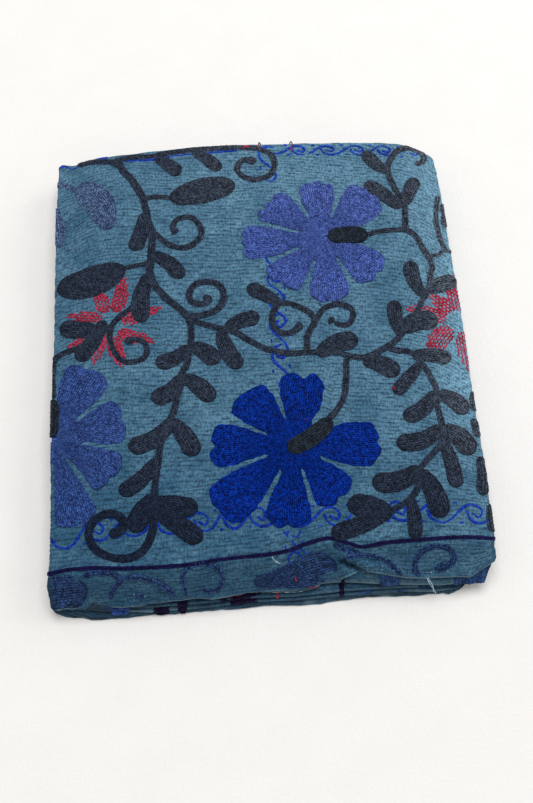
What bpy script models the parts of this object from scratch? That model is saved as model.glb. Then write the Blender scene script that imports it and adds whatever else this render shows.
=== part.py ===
"""A kantha quilt, folded as it is kept on a shelf. All sizes are in metres, and +Z is up.

The quilt is one sheet of stitched cotton. It was folded lengthwise into a strip of three plies, and the
strip was then laid back and forth into four runs, one on the other. The last run rolls over the front of
the stack, where its three plies hang one below the other and end in their hems.

The sheet starts as a flat grid. One function gives each of its points its place in the folded stack, and
Solidify then gives the cloth its thickness. The rows of running stitch are raised in the top face.
"""

import math

import bmesh
import bpy
import numpy as np

# The cloth and how loosely its layers lie.
CLOTH = 0.0032
PLY_PITCH = 0.0050
RUN_PITCH = 0.0152
HALF_WIDTH = 0.2300

# Rows of running stitch across the top face.
ROW_HEIGHT = 0.0005

# Where the runs turn back at the back of the stack. Each row is x and the centre of the upper fold.
BACK = (
    (-0.230, 0.2500),
    (-0.205, 0.2510),
    (-0.150, 0.2572),
    (-0.070, 0.2630),
    (0.015, 0.2655),
    (0.125, 0.2620),
    (0.180, 0.2592),
    (0.208, 0.2570),
    (0.230, 0.2505),
)
LOWER_BACK_INSET = 0.005

# The hidden fold at the front lies this far behind the roll, and the lowest run's hems step back ply by ply.
FOLD_BEHIND_ROLL = 0.007
HEM_STEP = 0.003

# The top run rolls over the front with this radius at the middle of the strip.
ROLL_RADIUS = 0.016

# The stack is crowned and gives way towards its sides, back and corners, as shares of its height.
CROWN = 0.045
SIDE_GIVE_LEFT = 0.17
SIDE_GIVE_RIGHT = 0.24
BACK_GIVE = 0.09
CORNER_GIVE = 0.08
SIDE_BAND = 0.052
BACK_BAND = 0.075

# How far the sides lie from the middle. Each row is y and the reach of the left and the right side.
SIDES = (
    (-0.285, 0.2268, 0.2328),
    (-0.200, 0.2275, 0.2328),
    (-0.080, 0.2280, 0.2315),
    (0.050, 0.2292, 0.2303),
    (0.200, 0.2300, 0.2265),
    (0.280, 0.2292, 0.2248),
)
LOWER_LAYER_LEAN = 0.0015

# At the right front corner the lower layers draw inwards and the top one stands out. Each row is
# a height and the shift there. At the left front corner all the layers flare.
RIGHT_CORNER = (
    (0.004, -0.028),
    (0.012, -0.020),
    (0.016, -0.002),
    (0.030, 0.000),
    (0.045, 0.007),
)
CORNER_BAND = 0.080
LEFT_FLARE = 0.006

# Long soft waves of the top face.
WAVE_HEIGHT = 0.0011
WAVE_LENGTH = (0.210, 0.170)

# The middle of the finished underside, which becomes the origin.
ORIGIN = (0.0006, -0.0020)

# The front, read from left to right. Each row is one place across the quilt:
# x, where the roll begins, slope of the hanging end in degrees, the length that the outer,
# middle and inner ply hang below the roll, and where the lowest run's hem lies.
FRONT = (
    (-0.231, -0.2385, 57, 0.0330, 0.0320, 0.0300, -0.2760),
    (-0.190, -0.2385, 55, 0.0378, 0.0350, 0.0318, -0.2840),
    (-0.100, -0.2372, 55, 0.0345, 0.0345, 0.0322, -0.2830),
    (-0.020, -0.2315, 54, 0.0358, 0.0360, 0.0325, -0.2790),
    (0.036, -0.2225, 48, 0.0425, 0.0410, 0.0365, -0.2795),
    (0.064, -0.2165, 48, 0.0410, 0.0420, 0.0370, -0.2780),
    (0.076, -0.2225, 38, 0.0230, 0.0440, 0.0430, -0.2765),
    (0.110, -0.2222, 39, 0.0325, 0.0455, 0.0440, -0.2740),
    (0.150, -0.2225, 40, 0.0372, 0.0470, 0.0445, -0.2755),
    (0.200, -0.2228, 40, 0.0378, 0.0470, 0.0440, -0.2750),
    (0.212, -0.2230, 39, 0.0300, 0.0440, 0.0420, -0.2740),
    (0.223, -0.2232, 38, 0.0210, 0.0260, 0.0370, -0.2710),
    (0.229, -0.2235, 37, 0.0140, 0.0150, 0.0200, -0.2690),
)

# The quilt's places across, in the grid: inner ply, outer ply and middle ply.
INNER_PLY_AT = (-0.2290, -0.1700, -0.0600, 0.0600, 0.1700)
OUTER_PLY_AT = (0.2080, 0.1800, 0.1250, 0.0780, 0.0660, 0.0150, -0.0700, -0.1500, -0.2050)
MIDDLE_PLY_AT = (-0.1600, 0.0600, 0.2190)
SIDE_FOLD_STEPS = 6
INNER_FOLD_STEPS = 4

# Steps along the quilt, for each run or fold in turn.
RUN_STEPS = 5
FOLD_STEPS = 6
TOP_RUN_STEPS = 8
ROLL_STEPS = 4
HANGING_STEPS = 3
LINES_IN_STEP = 19

INDIGO_TEAL = (0.045, 0.130, 0.175, 1.0)


def eased(share):
    """0 to 1 with a soft start and a soft end."""
    t = np.clip(share, 0.0, 1.0)
    return t * t * (3.0 - 2.0 * t)


def through(x, places, values):
    """A smooth line through values at places: cubics that never swing past the values they join."""
    x, places, values = (np.asarray(a, float) for a in (x, places, values))
    secants = np.diff(values) / np.diff(places)
    before, after = secants[:-1], secants[1:]
    same_way = before * after > 0
    inner = np.where(same_way, 2 * before * after / np.where(same_way, before + after, 1.0), 0.0)
    slopes = np.concatenate([secants[:1], inner, secants[-1:]])
    i = np.clip(np.searchsorted(places, x) - 1, 0, len(places) - 2)
    gap = places[i + 1] - places[i]
    t = np.clip((x - places[i]) / gap, 0.0, 1.0)
    rise = values[i + 1] - values[i]
    start, end = slopes[i] * gap, slopes[i + 1] * gap
    return values[i] + t * start + t**2 * (3 * rise - 2 * start - end) + t**3 * (start + end - 2 * rise)


def read(table, at, column):
    """One column of a table, at a place along its first column."""
    table = np.array(table)
    return through(at, table[:, 0], table[:, column])


def section_across():
    """The strip's section, from hem to hem: x, height over the strip's middle, and which ply, 0 inner to 2 outer."""
    right = HALF_WIDTH - CLOTH / 2 - PLY_PITCH
    left = -HALF_WIDTH + CLOTH / 2 + PLY_PITCH / 2
    inner = [(x, -PLY_PITCH, 0.0) for x in INNER_PLY_AT]
    turns = np.linspace(-90, 90, SIDE_FOLD_STEPS + 1)
    right_fold = [
        (right + PLY_PITCH * math.cos(math.radians(a)), PLY_PITCH * math.sin(math.radians(a)), a / 90 + 1)
        for a in turns
    ]
    outer = [(x, PLY_PITCH, 2.0) for x in OUTER_PLY_AT]
    half = PLY_PITCH / 2
    turns = np.linspace(90, -90, INNER_FOLD_STEPS + 1)
    left_fold = [
        (left - half * math.cos(math.radians(a)), half + half * math.sin(math.radians(a)), a / 180 + 1.5)
        for a in turns
    ]
    middle = [(x, 0.0, 1.0) for x in MIDDLE_PLY_AT]
    return np.array(inner + right_fold + outer + left_fold + middle)


def hanging_length(x, ply):
    """How far below the roll the cloth ends at x, for ply 0 inner, 1 middle and 2 outer, and blends between them."""
    outer, middle, inner = (read(FRONT, x, column) for column in (3, 4, 5))
    return np.where(ply < 1, inner + (middle - inner) * ply, middle + (outer - middle) * (ply - 1))


def strip_path(part, share, x, ply):
    """The strip's middle line: y, z and its normal, at a share of one of its nine parts.

    Parts 0, 2, 4 and 6 are the runs, 1, 3 and 5 the half circles where it turns back, 7 the roll over the
    front and 8 the straight hanging end.
    """
    low = PLY_PITCH + CLOTH / 2
    levels = [low + RUN_PITCH * i for i in range(4)]
    turn = RUN_PITCH / 2
    back = read(BACK, x, 1)
    lower_back = back - LOWER_BACK_INSET
    roll_at = read(FRONT, x, 1)
    slope = np.radians(read(FRONT, x, 2))
    first = read(FRONT, x, 6) + HEM_STEP * (2 - ply)
    middle = roll_at + FOLD_BEHIND_ROLL
    runs = {
        0: (first, lower_back, levels[0], -1),
        2: (lower_back, middle, levels[1], 1),
        4: (middle, back, levels[2], -1),
        6: (back, roll_at, levels[3], 1),
    }
    if part in runs:
        start, end, level, up = runs[part]
        return start + (end - start) * share, level + 0 * x, 0 * x, up + 0 * x
    if part in (1, 5):
        centre, level = (lower_back, levels[0]) if part == 1 else (back, levels[2])
        angle = math.pi * (share - 0.5) + 0 * x
        c, s = np.cos(angle), np.sin(angle)
        return centre + turn * c, level + turn + turn * s, c, s
    if part == 3:
        angle = math.pi * (share - 0.5) + 0 * x
        c, s = np.cos(angle), np.sin(angle)
        return middle - turn * c, levels[1] + turn + turn * s, c, -s
    angle = slope * (share if part == 7 else 1.0)
    c, s = np.cos(angle), np.sin(angle)
    y, z = roll_at - ROLL_RADIUS * s, levels[3] - ROLL_RADIUS * (1 - c)
    if part == 8:
        y = y - share * hanging_length(x, ply) * c
        z = z - share * hanging_length(x, ply) * s
    return y, z, -s, c


def settle(x, y, z):
    """The folded stack as it settles: crowned, lower at its sides, back and corners, with sides that wander."""
    side = eased((np.abs(x) - HALF_WIDTH + SIDE_BAND) / SIDE_BAND)
    back = eased((y - read(BACK, 0.0, 1) + BACK_BAND - 0.01) / BACK_BAND)
    give = np.where(x < 0, SIDE_GIVE_LEFT, SIDE_GIVE_RIGHT)
    crown = CROWN * (1 - (x / HALF_WIDTH) ** 2) * (1 - (y / 0.28) ** 2)
    height = 1 + crown - give * side - BACK_GIVE * back - CORNER_GIVE * side * back
    up = eased(z / (4 * RUN_PITCH))
    wave = np.sin(2 * math.pi * x / WAVE_LENGTH[0] + 0.7) * np.sin(2 * math.pi * y / WAVE_LENGTH[1] + 0.4)
    low = CLOTH / 2
    new_z = low + (z - low) * height + WAVE_HEIGHT * wave * up**2
    reach = np.where(x < 0, read(SIDES, y, 1), read(SIDES, y, 2))
    new_x = x * reach / HALF_WIDTH + LOWER_LAYER_LEAN * (1 - up) * side * np.cos(9 * y) * np.sign(x)
    near_corner = eased(1 + (np.abs(x) - HALF_WIDTH) / CORNER_BAND) * eased((-0.235 - y) / 0.035)
    new_x = new_x + near_corner * np.where(x < 0, -LEFT_FLARE, read(RIGHT_CORNER, z, 1))
    return new_x - ORIGIN[0], y - ORIGIN[1], new_z


def folded(across, along, lines):
    """Where each point of the flat grid goes. across and along count grid steps, and may fall between them."""
    section = section_across()
    parts = (RUN_STEPS, FOLD_STEPS) * 3 + (TOP_RUN_STEPS, ROLL_STEPS, HANGING_STEPS)
    ends = np.cumsum((0,) + parts)
    x, over, ply = (np.interp(across, np.arange(len(section)), section[:, k]) for k in range(3))
    part = np.clip(np.searchsorted(ends, along, side="right") - 1, 0, len(parts) - 1)
    share = (along - ends[part]) / np.array(parts)[part]
    y, z, out_y, out_z = (np.zeros(len(x)) for _ in range(4))
    for k in range(len(parts)):
        at = part == k
        y[at], z[at], out_y[at], out_z[at] = strip_path(k, share[at], x[at], ply[at])
    rows = np.where(part == 6, np.round(share * TOP_RUN_STEPS * LINES_IN_STEP), 0)
    raised = ROW_HEIGHT * (1 - 2 * (rows % 2)) * lines * (part == 6)
    over = over + raised
    return settle(x, y + out_y * over, z + out_z * over)


def cloth_grid():
    """The flat sheet as a grid, with the extra lines that the rows of stitching need in the top face."""
    across, along = len(section_across()) - 1, 3 * (RUN_STEPS + FOLD_STEPS)
    top = (along, along + TOP_RUN_STEPS)
    along += TOP_RUN_STEPS + ROLL_STEPS + HANGING_STEPS
    first = len(INNER_PLY_AT) + SIDE_FOLD_STEPS
    last = first + len(OUTER_PLY_AT) + 1
    sheet = bmesh.new()
    bmesh.ops.create_grid(sheet, x_segments=across, y_segments=along, size=0.5)
    for v in sheet.verts:
        v.co = ((v.co.x + 0.5) * across, (v.co.y + 0.5) * along, 0)
    in_top = [
        e
        for e in sheet.edges
        if abs(e.verts[0].co.x - e.verts[1].co.x) < 0.5
        and first - 0.1 < e.verts[0].co.x < last + 0.1
        and all(top[0] - 0.1 < v.co.y < top[1] + 0.1 for v in e.verts)
    ]
    bmesh.ops.subdivide_edges(sheet, edges=in_top, cuts=LINES_IN_STEP - 1, use_grid_fill=True)
    return sheet, (first, last)


def quilt_material():
    material = bpy.data.materials.new("overdyed_cotton")
    material.use_nodes = True
    shader = material.node_tree.nodes["Principled BSDF"]
    shader.inputs["Base Color"].default_value = INDIGO_TEAL
    shader.inputs["Roughness"].default_value = 0.9
    shader.inputs["Metallic"].default_value = 0.0
    return material


def quilt(collection):
    sheet, (first, last) = cloth_grid()
    flat = np.array([v.co[:] for v in sheet.verts])
    inside = np.minimum(flat[:, 0] - first, last - flat[:, 0])
    lines = eased(inside)
    x, y, z = folded(flat[:, 0], flat[:, 1], lines)
    for v, place in zip(sheet.verts, np.stack([x, y, z], 1)):
        v.co = place
    mesh = bpy.data.meshes.new("quilt")
    sheet.to_mesh(mesh)
    sheet.free()
    mesh.shade_smooth()
    mesh.materials.append(quilt_material())
    made = bpy.data.objects.new("quilt", mesh)
    collection.objects.link(made)
    thick = made.modifiers.new("cloth", "SOLIDIFY")
    thick.thickness = CLOTH
    thick.offset = 0.0
    thick.use_even_offset = True
    thick.use_rim = True
    return made


def main():
    for old in list(bpy.data.objects):
        bpy.data.objects.remove(old, do_unlink=True)
    collection = bpy.data.collections.new("folded_quilt")
    bpy.context.scene.collection.children.link(collection)
    quilt(collection)


main()
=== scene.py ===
# %% [markdown]
# # A folded kantha quilt
# A kantha is made of layers of old soft cotton, held together by rows of small running stitches that pucker
# the cloth. This one is overdyed blue-green, embroidered all over with flowers and vines in chain stitch,
# and folded into a flat stack. Here the whole stack is one sheet, moved point by point by a fold function,
# and each group of embroidery is a raised skin that the same function lays on the cloth.

# %% Frame
import math

import bpy
import numpy as np
from mathutils import Matrix


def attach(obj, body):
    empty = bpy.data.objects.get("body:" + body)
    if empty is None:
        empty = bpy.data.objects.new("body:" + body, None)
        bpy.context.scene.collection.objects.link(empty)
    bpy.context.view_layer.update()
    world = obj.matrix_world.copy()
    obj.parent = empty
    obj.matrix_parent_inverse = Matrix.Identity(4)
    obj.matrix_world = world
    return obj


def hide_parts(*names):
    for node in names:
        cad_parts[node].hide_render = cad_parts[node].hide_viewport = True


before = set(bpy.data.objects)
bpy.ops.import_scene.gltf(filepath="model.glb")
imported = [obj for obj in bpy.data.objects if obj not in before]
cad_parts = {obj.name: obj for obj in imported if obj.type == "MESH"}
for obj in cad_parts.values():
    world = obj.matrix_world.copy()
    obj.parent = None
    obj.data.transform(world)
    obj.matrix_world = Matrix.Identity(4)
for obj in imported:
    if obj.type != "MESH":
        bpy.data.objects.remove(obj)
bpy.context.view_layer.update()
scene = bpy.context.scene

# %% [markdown]
# ## Camera
# The quilt is seen from high above its front edge, a little from the left. A camera could be aimed with a
# Track To constraint. Here its three axes are worked out from two angles and a roll, because the same
# numbers are needed again: the embroidery is drawn in the plan that the camera sees.

# %% Camera
TARGET = np.array([0.0035, -0.0556, 0.0300])
ELEVATION, AZIMUTH, ROLL = np.radians([65.634, -4.521, 1.652])
DISTANCE = 1.2308
LENS, SENSOR = 49.99, 36.0

backward = np.array([
    math.sin(AZIMUTH) * math.cos(ELEVATION),
    -math.cos(AZIMUTH) * math.cos(ELEVATION),
    math.sin(ELEVATION),
])
level = np.cross([0, 0, 1], backward)
level /= np.linalg.norm(level)
upward = np.cross(backward, level)
right_way = math.cos(ROLL) * level + math.sin(ROLL) * upward
up_way = math.cos(ROLL) * upward - math.sin(ROLL) * level
EYE = TARGET + backward * DISTANCE

camera_data = bpy.data.cameras.new("camera")
camera_data.lens, camera_data.sensor_width = LENS, SENSOR
camera = bpy.data.objects.new("camera", camera_data)
scene.collection.objects.link(camera)
turned = Matrix(np.stack([right_way, up_way, backward], 1).tolist()).to_4x4()
camera.matrix_world = Matrix.Translation(EYE.tolist()) @ turned
scene.camera = camera
print("camera at", np.round(EYE, 3))

# %% [markdown]
# ## The fold
# The sheet is about 1.4 by 2.1 m. It was folded lengthwise into a strip of three plies, and the strip was
# laid back and forth into four runs. The last run rolls over the front and hangs there. A cloth simulation
# could fold it, but twelve layers would push through each other and land elsewhere each time. A formula
# keeps every layer a set distance from the next. A point of the sheet is a distance across it and a
# distance along it, and the fold function says where it lies.

# %% Small helpers for curves
def eased(share):
    """0 to 1 with a soft start and end: 3t^2 - 2t^3."""
    t = np.clip(share, 0.0, 1.0)
    return t * t * (3.0 - 2.0 * t)


def quarter_round(distance, radius):
    """0 at an edge to 1 at the radius from it, as a quarter of a circle: sqrt(1 - (1 - d / r)^2)."""
    return np.sqrt(1 - (1 - np.clip(distance / radius, 0, 1)) ** 2)


def through(x, places, values):
    """Cubic pieces through values at places, with slopes that never swing past the values they join."""
    x, places, values = (np.asarray(a, float) for a in (x, places, values))
    secants = np.diff(values) / np.diff(places)
    before, after = secants[:-1], secants[1:]
    same_way = before * after > 0
    inner = np.where(same_way, 2 * before * after / np.where(same_way, before + after, 1.0), 0.0)
    slopes = np.concatenate([secants[:1], inner, secants[-1:]])
    i = np.clip(np.searchsorted(places, x) - 1, 0, len(places) - 2)
    gap = places[i + 1] - places[i]
    t = np.clip((x - places[i]) / gap, 0.0, 1.0)
    rise = values[i + 1] - values[i]
    start, end = slopes[i] * gap, slopes[i + 1] * gap
    return values[i] + t * start + t**2 * (3 * rise - 2 * start - end) + t**3 * (start + end - 2 * rise)


def read(table, at, column):
    """One column of a table, at a place along its first column."""
    table = np.array(table)
    return through(at, table[:, 0], table[:, column])


print("eased:", eased(np.array([0, 0.25, 0.5, 0.75, 1])))

# %% Small helpers for noise
def soft_noise(x, y, seed):
    """Smooth noise from -1 to 1: seeded values at whole numbers of x and y, joined by eased steps."""
    side = 64
    values = np.random.default_rng(seed).uniform(-1, 1, (side, side))
    column, row = np.floor(x).astype(int), np.floor(y).astype(int)
    right, up = eased(x - column), eased(y - row)
    column, row, next_column, next_row = column % side, row % side, (column + 1) % side, (row + 1) % side
    low = values[column, row] + (values[next_column, row] - values[column, row]) * right
    high = values[column, next_row] + (values[next_column, next_row] - values[column, next_row]) * right
    return low + (high - low) * up


def waves(x, y, rows):
    """A sum of noises: for each row a height, a length along x, a length along y, and a seed."""
    return sum(height * soft_noise(x / long, y / wide, seed) for height, long, wide, seed in rows)


print("noise at one place, with two seeds:", *(soft_noise(0.4, 0.7, seed).round(3) for seed in (1, 2)))

# %% Sizes of the stack, in metres
# the cloth, and the distance from one ply or one run to the next
CLOTH, PLY_PITCH, RUN_PITCH = 0.0032, 0.0050, 0.0152
HALF_WIDTH, HALF_LENGTH, ROLL_RADIUS = 0.2300, 0.280, 0.016
LOWER_BACK_INSET, FOLD_BEHIND_ROLL, HEM_STEP = 0.005, 0.007, 0.003
# how much it swells in the middle and gives way at its sides, back and corners, as shares of its height
CROWN, SIDE_GIVE_LEFT, SIDE_GIVE_RIGHT, BACK_GIVE, CORNER_GIVE = 0.045, 0.17, 0.24, 0.09, 0.08
# how wide the strips are in which it gives way
SIDE_BAND, BACK_BAND, CORNER_BAND = 0.052, 0.075, 0.080
# how far the lower layers lean in and out at the sides, and how far the left front corner flares
LOWER_LAYER_LEAN, LEFT_FLARE = 0.0015, 0.0035
# a slow wave of the upper layers, and what becomes the middle of the frame
WAVE_HEIGHT, WAVE_LENGTH = 0.0011, (0.210, 0.170)
ORIGIN = (0.0006, -0.0020)

# x, centre of the upper fold at the back
BACK = (
    (-0.230, 0.2500), (-0.205, 0.2510), (-0.150, 0.2572), (-0.070, 0.2630), (0.015, 0.2655),
    (0.125, 0.2620), (0.180, 0.2592), (0.208, 0.2570), (0.230, 0.2505),
)
# y, reach of the left side, reach of the right side
SIDES = (
    (-0.285, 0.2268, 0.2328), (-0.200, 0.2275, 0.2328), (-0.080, 0.2280, 0.2315),
    (0.050, 0.2292, 0.2303), (0.200, 0.2300, 0.2265), (0.280, 0.2292, 0.2248),
)
# height, how far the right front corner stands out there
RIGHT_CORNER = ((0.004, -0.028), (0.012, -0.020), (0.016, -0.002), (0.030, 0.000), (0.045, 0.007))
# x, where the roll begins, slope in degrees, hanging length of the outer, middle and inner ply, lowest hem
FRONT = (
    (-0.231, -0.2385, 57, 0.0330, 0.0320, 0.0300, -0.2760),
    (-0.190, -0.2385, 55, 0.0378, 0.0350, 0.0318, -0.2840),
    (-0.100, -0.2372, 55, 0.0345, 0.0345, 0.0322, -0.2830),
    (-0.020, -0.2315, 54, 0.0358, 0.0360, 0.0325, -0.2790),
    (0.036, -0.2225, 48, 0.0425, 0.0410, 0.0365, -0.2795),
    (0.064, -0.2165, 48, 0.0410, 0.0420, 0.0370, -0.2780),
    (0.076, -0.2225, 38, 0.0312, 0.0440, 0.0430, -0.2765),
    (0.092, -0.2224, 38, 0.0268, 0.0448, 0.0435, -0.2750),
    (0.110, -0.2222, 39, 0.0305, 0.0455, 0.0440, -0.2740),
    (0.150, -0.2225, 40, 0.0372, 0.0470, 0.0445, -0.2755),
    (0.200, -0.2228, 40, 0.0378, 0.0470, 0.0440, -0.2750),
    (0.212, -0.2230, 39, 0.0300, 0.0465, 0.0430, -0.2740),
    (0.219, -0.2231, 38, 0.0245, 0.0460, 0.0425, -0.2720),
    (0.223, -0.2232, 38, 0.0210, 0.0300, 0.0395, -0.2710),
    (0.229, -0.2235, 37, 0.0140, 0.0150, 0.0160, -0.2690),
)
print("the front is drawn through", len(FRONT), "places")

# %% Distances on the flat sheet
# across it, where its plies and side folds begin, and along it, where its runs and turns do
RIGHT_TURN = HALF_WIDTH - CLOTH / 2 - PLY_PITCH
LEFT_TURN = -HALF_WIDTH + CLOTH / 2 + PLY_PITCH / 2
LEFT_HEM, RIGHT_HEM = -0.2290, 0.2190
ACROSS = np.cumsum([
    0.0, RIGHT_TURN - LEFT_HEM, math.pi * PLY_PITCH, RIGHT_TURN - LEFT_TURN,
    math.pi * PLY_PITCH / 2, RIGHT_HEM - LEFT_TURN,
])
TURN_LENGTH = math.pi * RUN_PITCH / 2
LOWER_RUNS, TOP_RUN, ROLL_LENGTH, HANGING_LENGTH = (0.540, 0.475, 0.480), 0.487, 0.0135, 0.0380
runs_and_turns = [length for run in LOWER_RUNS for length in (run, TURN_LENGTH)]
ALONG = np.cumsum([0.0, *runs_and_turns, TOP_RUN, ROLL_LENGTH, HANGING_LENGTH])
print(f"flat sheet {ACROSS[-1]:.3f} by {ALONG[-1]:.3f} m")

# %% Section of the strip
def section(across):
    """The strip's section at a distance across the sheet: x, height over the middle, facing, and ply.

    Three straight plies, joined at the right by a half circle round the middle ply and at the left by a
    smaller one between the upper two. Facing is the direction of the embroidered side, as x and height.
    """
    k = np.clip(np.searchsorted(ACROSS, across, side="right") - 1, 0, 4)
    run = across - ACROSS[k]
    half = PLY_PITCH / 2
    right = run / PLY_PITCH - math.pi / 2
    left = math.pi / 2 - run / half
    none = 0 * run
    x = np.choose(k, [
        LEFT_HEM + run, RIGHT_TURN + PLY_PITCH * np.cos(right), RIGHT_TURN - run,
        LEFT_TURN - half * np.cos(left), LEFT_TURN + run,
    ])
    height = np.choose(k, [none - PLY_PITCH, PLY_PITCH * np.sin(right), none + PLY_PITCH,
                           half + half * np.sin(left), none])
    facing_x = np.choose(k, [none, np.cos(right), none, -np.cos(left), none])
    facing_up = np.choose(k, [none - 1, np.sin(right), none + 1, np.sin(left), none - 1])
    ply = np.choose(k, [none, right / (math.pi / 2) + 1, none + 2, left / math.pi + 1.5, none + 1])
    return x, height, facing_x, facing_up, ply


halfway_round = section((ACROSS[1:2] + ACROSS[2:3]) / 2)
print("x and height halfway round the right fold:", np.round(halfway_round[:2], 4).ravel())

# %% Path of the strip
def hanging_length(x, ply):
    """How far below the roll the cloth ends, for ply 0 inner, 1 middle and 2 outer, and blends between."""
    outer, middle, inner = (read(FRONT, x, column) for column in (3, 4, 5))
    return np.where(ply < 1, inner + (middle - inner) * ply, middle + (outer - middle) * (ply - 1))


def strip_path(part, share, x, ply):
    """The strip's middle line at a share of one of its nine parts: y, z and the upper side's direction.

    Even parts to 6 are the runs, odd ones to 5 half circles, 7 the roll, and 8 the straight hanging end.
    """
    levels = [PLY_PITCH + CLOTH / 2 + RUN_PITCH * i for i in range(4)]
    turn = RUN_PITCH / 2
    back, roll_at = read(BACK, x, 1), read(FRONT, x, 1)
    lower_back, middle = back - LOWER_BACK_INSET, roll_at + FOLD_BEHIND_ROLL
    slope = np.radians(read(FRONT, x, 2))
    first = read(FRONT, x, 6) + HEM_STEP * (2 - ply)
    runs = {
        0: (first, lower_back, levels[0], -1),
        2: (lower_back, middle, levels[1], 1),
        4: (middle, back, levels[2], -1),
        6: (back, roll_at, levels[3], 1),
    }
    if part in runs:
        start, end, height, up = runs[part]
        return start + (end - start) * share, height + 0 * x, 0 * x, up + 0 * x
    if part < 7:
        centre, height, way = {
            1: (lower_back, levels[0], 1), 3: (middle, levels[1], -1), 5: (back, levels[2], 1),
        }[part]
        angle = math.pi * (share - 0.5)
        c, s = np.cos(angle), np.sin(angle)
        return centre + way * turn * c, height + turn + turn * s, c, way * s
    angle = slope * (share if part == 7 else 1.0)
    c, s = np.cos(angle), np.sin(angle)
    y, z = roll_at - ROLL_RADIUS * s, levels[3] - ROLL_RADIUS * (1 - c)
    down = share * hanging_length(x, ply) if part == 8 else 0.0
    return y - down * c, z - down * s, -s, c


print("y and z where the hanging end begins:", np.round(strip_path(7, 1.0, 0.0, 2)[:2], 4))

# %% Rumpled hems
# height in millimetres, length of the waves across and up, and seed
PUSHED = ((1.5, 21, 7, 31), (0.8, 7, 5, 32))
LIFTED = ((0.9, 16, 8, 33), (0.5, 6, 6, 34))
CRUMPLED = ((1.9, 4.6, 5, 35),)
CRUMPLED_LEFT_OF, DRAWN_IN_AT, DRAWN_IN_BY = -0.160, -182, 7.0


def rumple(x, y, z):
    """How far the hems in front stray in y and z: up to 2 mm, in waves of 6 to 21 mm that differ by height.

    At the left they are crumpled more tightly, and drawn in under the hanging end.
    """
    in_front = eased((-0.232 - y) / 0.026) * eased((0.040 - z) / 0.022)
    across, up = x * 1000, z * 1000
    tight = eased((CRUMPLED_LEFT_OF - x) / 0.025) * waves(across, up, CRUMPLED)
    low = eased((z - 0.004) / 0.004) * eased((0.024 - z) / 0.006)
    drawn_in = DRAWN_IN_BY * np.exp(-(((across - DRAWN_IN_AT) / 11) ** 2)) * low
    push = waves(across, up, PUSHED) + tight + drawn_in
    lift = (waves(across, up, LIFTED) + tight) * eased((z - 0.003) / 0.008)
    return in_front * push / 1000, in_front * lift / 1000


print("a place on a hem strays in y and z by", np.round(rumple(0.0, -0.275, 0.010), 4))

# %% The fold function
def settle(x, y, z):
    """The stack as it settles: crowned, lower at its sides, back and corners, with sides that wander."""
    side = eased((np.abs(x) - HALF_WIDTH + SIDE_BAND) / SIDE_BAND)
    back = eased((y - read(BACK, 0.0, 1) + BACK_BAND - 0.01) / BACK_BAND)
    give = np.where(x < 0, SIDE_GIVE_LEFT, SIDE_GIVE_RIGHT)
    crown = CROWN * (1 - (x / HALF_WIDTH) ** 2) * (1 - (y / HALF_LENGTH) ** 2)
    height = 1 + crown - give * side - BACK_GIVE * back - CORNER_GIVE * side * back
    up = eased(z / (4 * RUN_PITCH))
    wave = np.sin(2 * math.pi * x / WAVE_LENGTH[0] + 0.7) * np.sin(2 * math.pi * y / WAVE_LENGTH[1] + 0.4)
    new_z = CLOTH / 2 + (z - CLOTH / 2) * height + WAVE_HEIGHT * wave * up**2
    reach = np.where(x < 0, read(SIDES, y, 1), read(SIDES, y, 2))
    new_x = x * reach / HALF_WIDTH + LOWER_LAYER_LEAN * (1 - up) * side * np.cos(9 * y) * np.sign(x)
    corner = eased(1 + (np.abs(x) - HALF_WIDTH) / CORNER_BAND) * eased((-0.235 - y) / 0.035)
    new_x = new_x + corner * np.where(x < 0, -LEFT_FLARE, read(RIGHT_CORNER, z, 1))
    push, lift = rumple(x, y, new_z)
    return np.stack([new_x - ORIGIN[0], y + push - ORIGIN[1], new_z + lift], -1)


def laid(across, along, over):
    """Where a point of the sheet lies, at a distance over its middle on the embroidered side."""
    across, along, over = (a.astype(float) for a in np.broadcast_arrays(across, along, over))
    x, height, facing_x, facing_up, ply = section(across)
    x, height = x + facing_x * over, height + facing_up * over
    part = np.clip(np.searchsorted(ALONG, along, side="right") - 1, 0, 8)
    share = (along - ALONG[part]) / np.diff(ALONG)[part]
    y, z, out_y, out_z = (np.zeros(x.shape) for _ in range(4))
    for k in range(9):
        at = part == k
        y[at], z[at], out_y[at], out_z[at] = strip_path(k, share[at], x[at], ply[at])
    return settle(x, y + out_y * height, z + out_z * height)


print("middle of the top face at", np.round(laid(ACROSS[2] + 0.22, ALONG[6] + 0.25, CLOTH / 2), 4))

# %% [markdown]
# ## Creases
# Folding leaves a few soft troughs and ridges in the top layer: a tuck where the hanging end was caught
# right of the middle, drag lines near the corners, and the lift of a corner. They could be sculpted by
# hand. A short table does it here: each is a line with a width and a height, and the cloth rises or falls
# by a bell curve of the distance to it, so that the embroidery can follow the same creases.

# %% Creases
# from x, y, to x, y, width and height, all in millimetres on the plan
CREASES = (
    (58, -229, 66, -243, 3.6, 2.0),
    (69, -249, 92, -262, 2.0, -9.5),
    (75, -244, 98, -256, 3.4, 4.4),
    (66, -258, 80, -266, 3.4, 1.6),
    (100, -256, 124, -262, 5.0, 1.6),
    (-226, 250, -218, 254, 6.0, 3.0),
    (-212, 252, -206, 236, 5.0, -1.2),
    (-222, -248, -180, -252, 9.0, 0.9),
    (-150, -236, -60, -234, 7.0, -0.8),
    (-228, -262, -214, -284, 5.0, 1.2),
    (110, -238, 200, -240, 9.0, 0.8),
    (-190, 236, -60, 243, 8.0, 0.7),
    (120, 246, 200, 236, 9.0, -0.7),
    (196, -190, 222, -232, 9.0, 0.8),
    (-216, 120, -206, -40, 9.0, 0.6),
)
print(len(CREASES), "creases")

# %% The plan, and how creases lift the cloth
# the height of the level on which the plan is drawn
PLAN_LEVEL = 0.052


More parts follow.
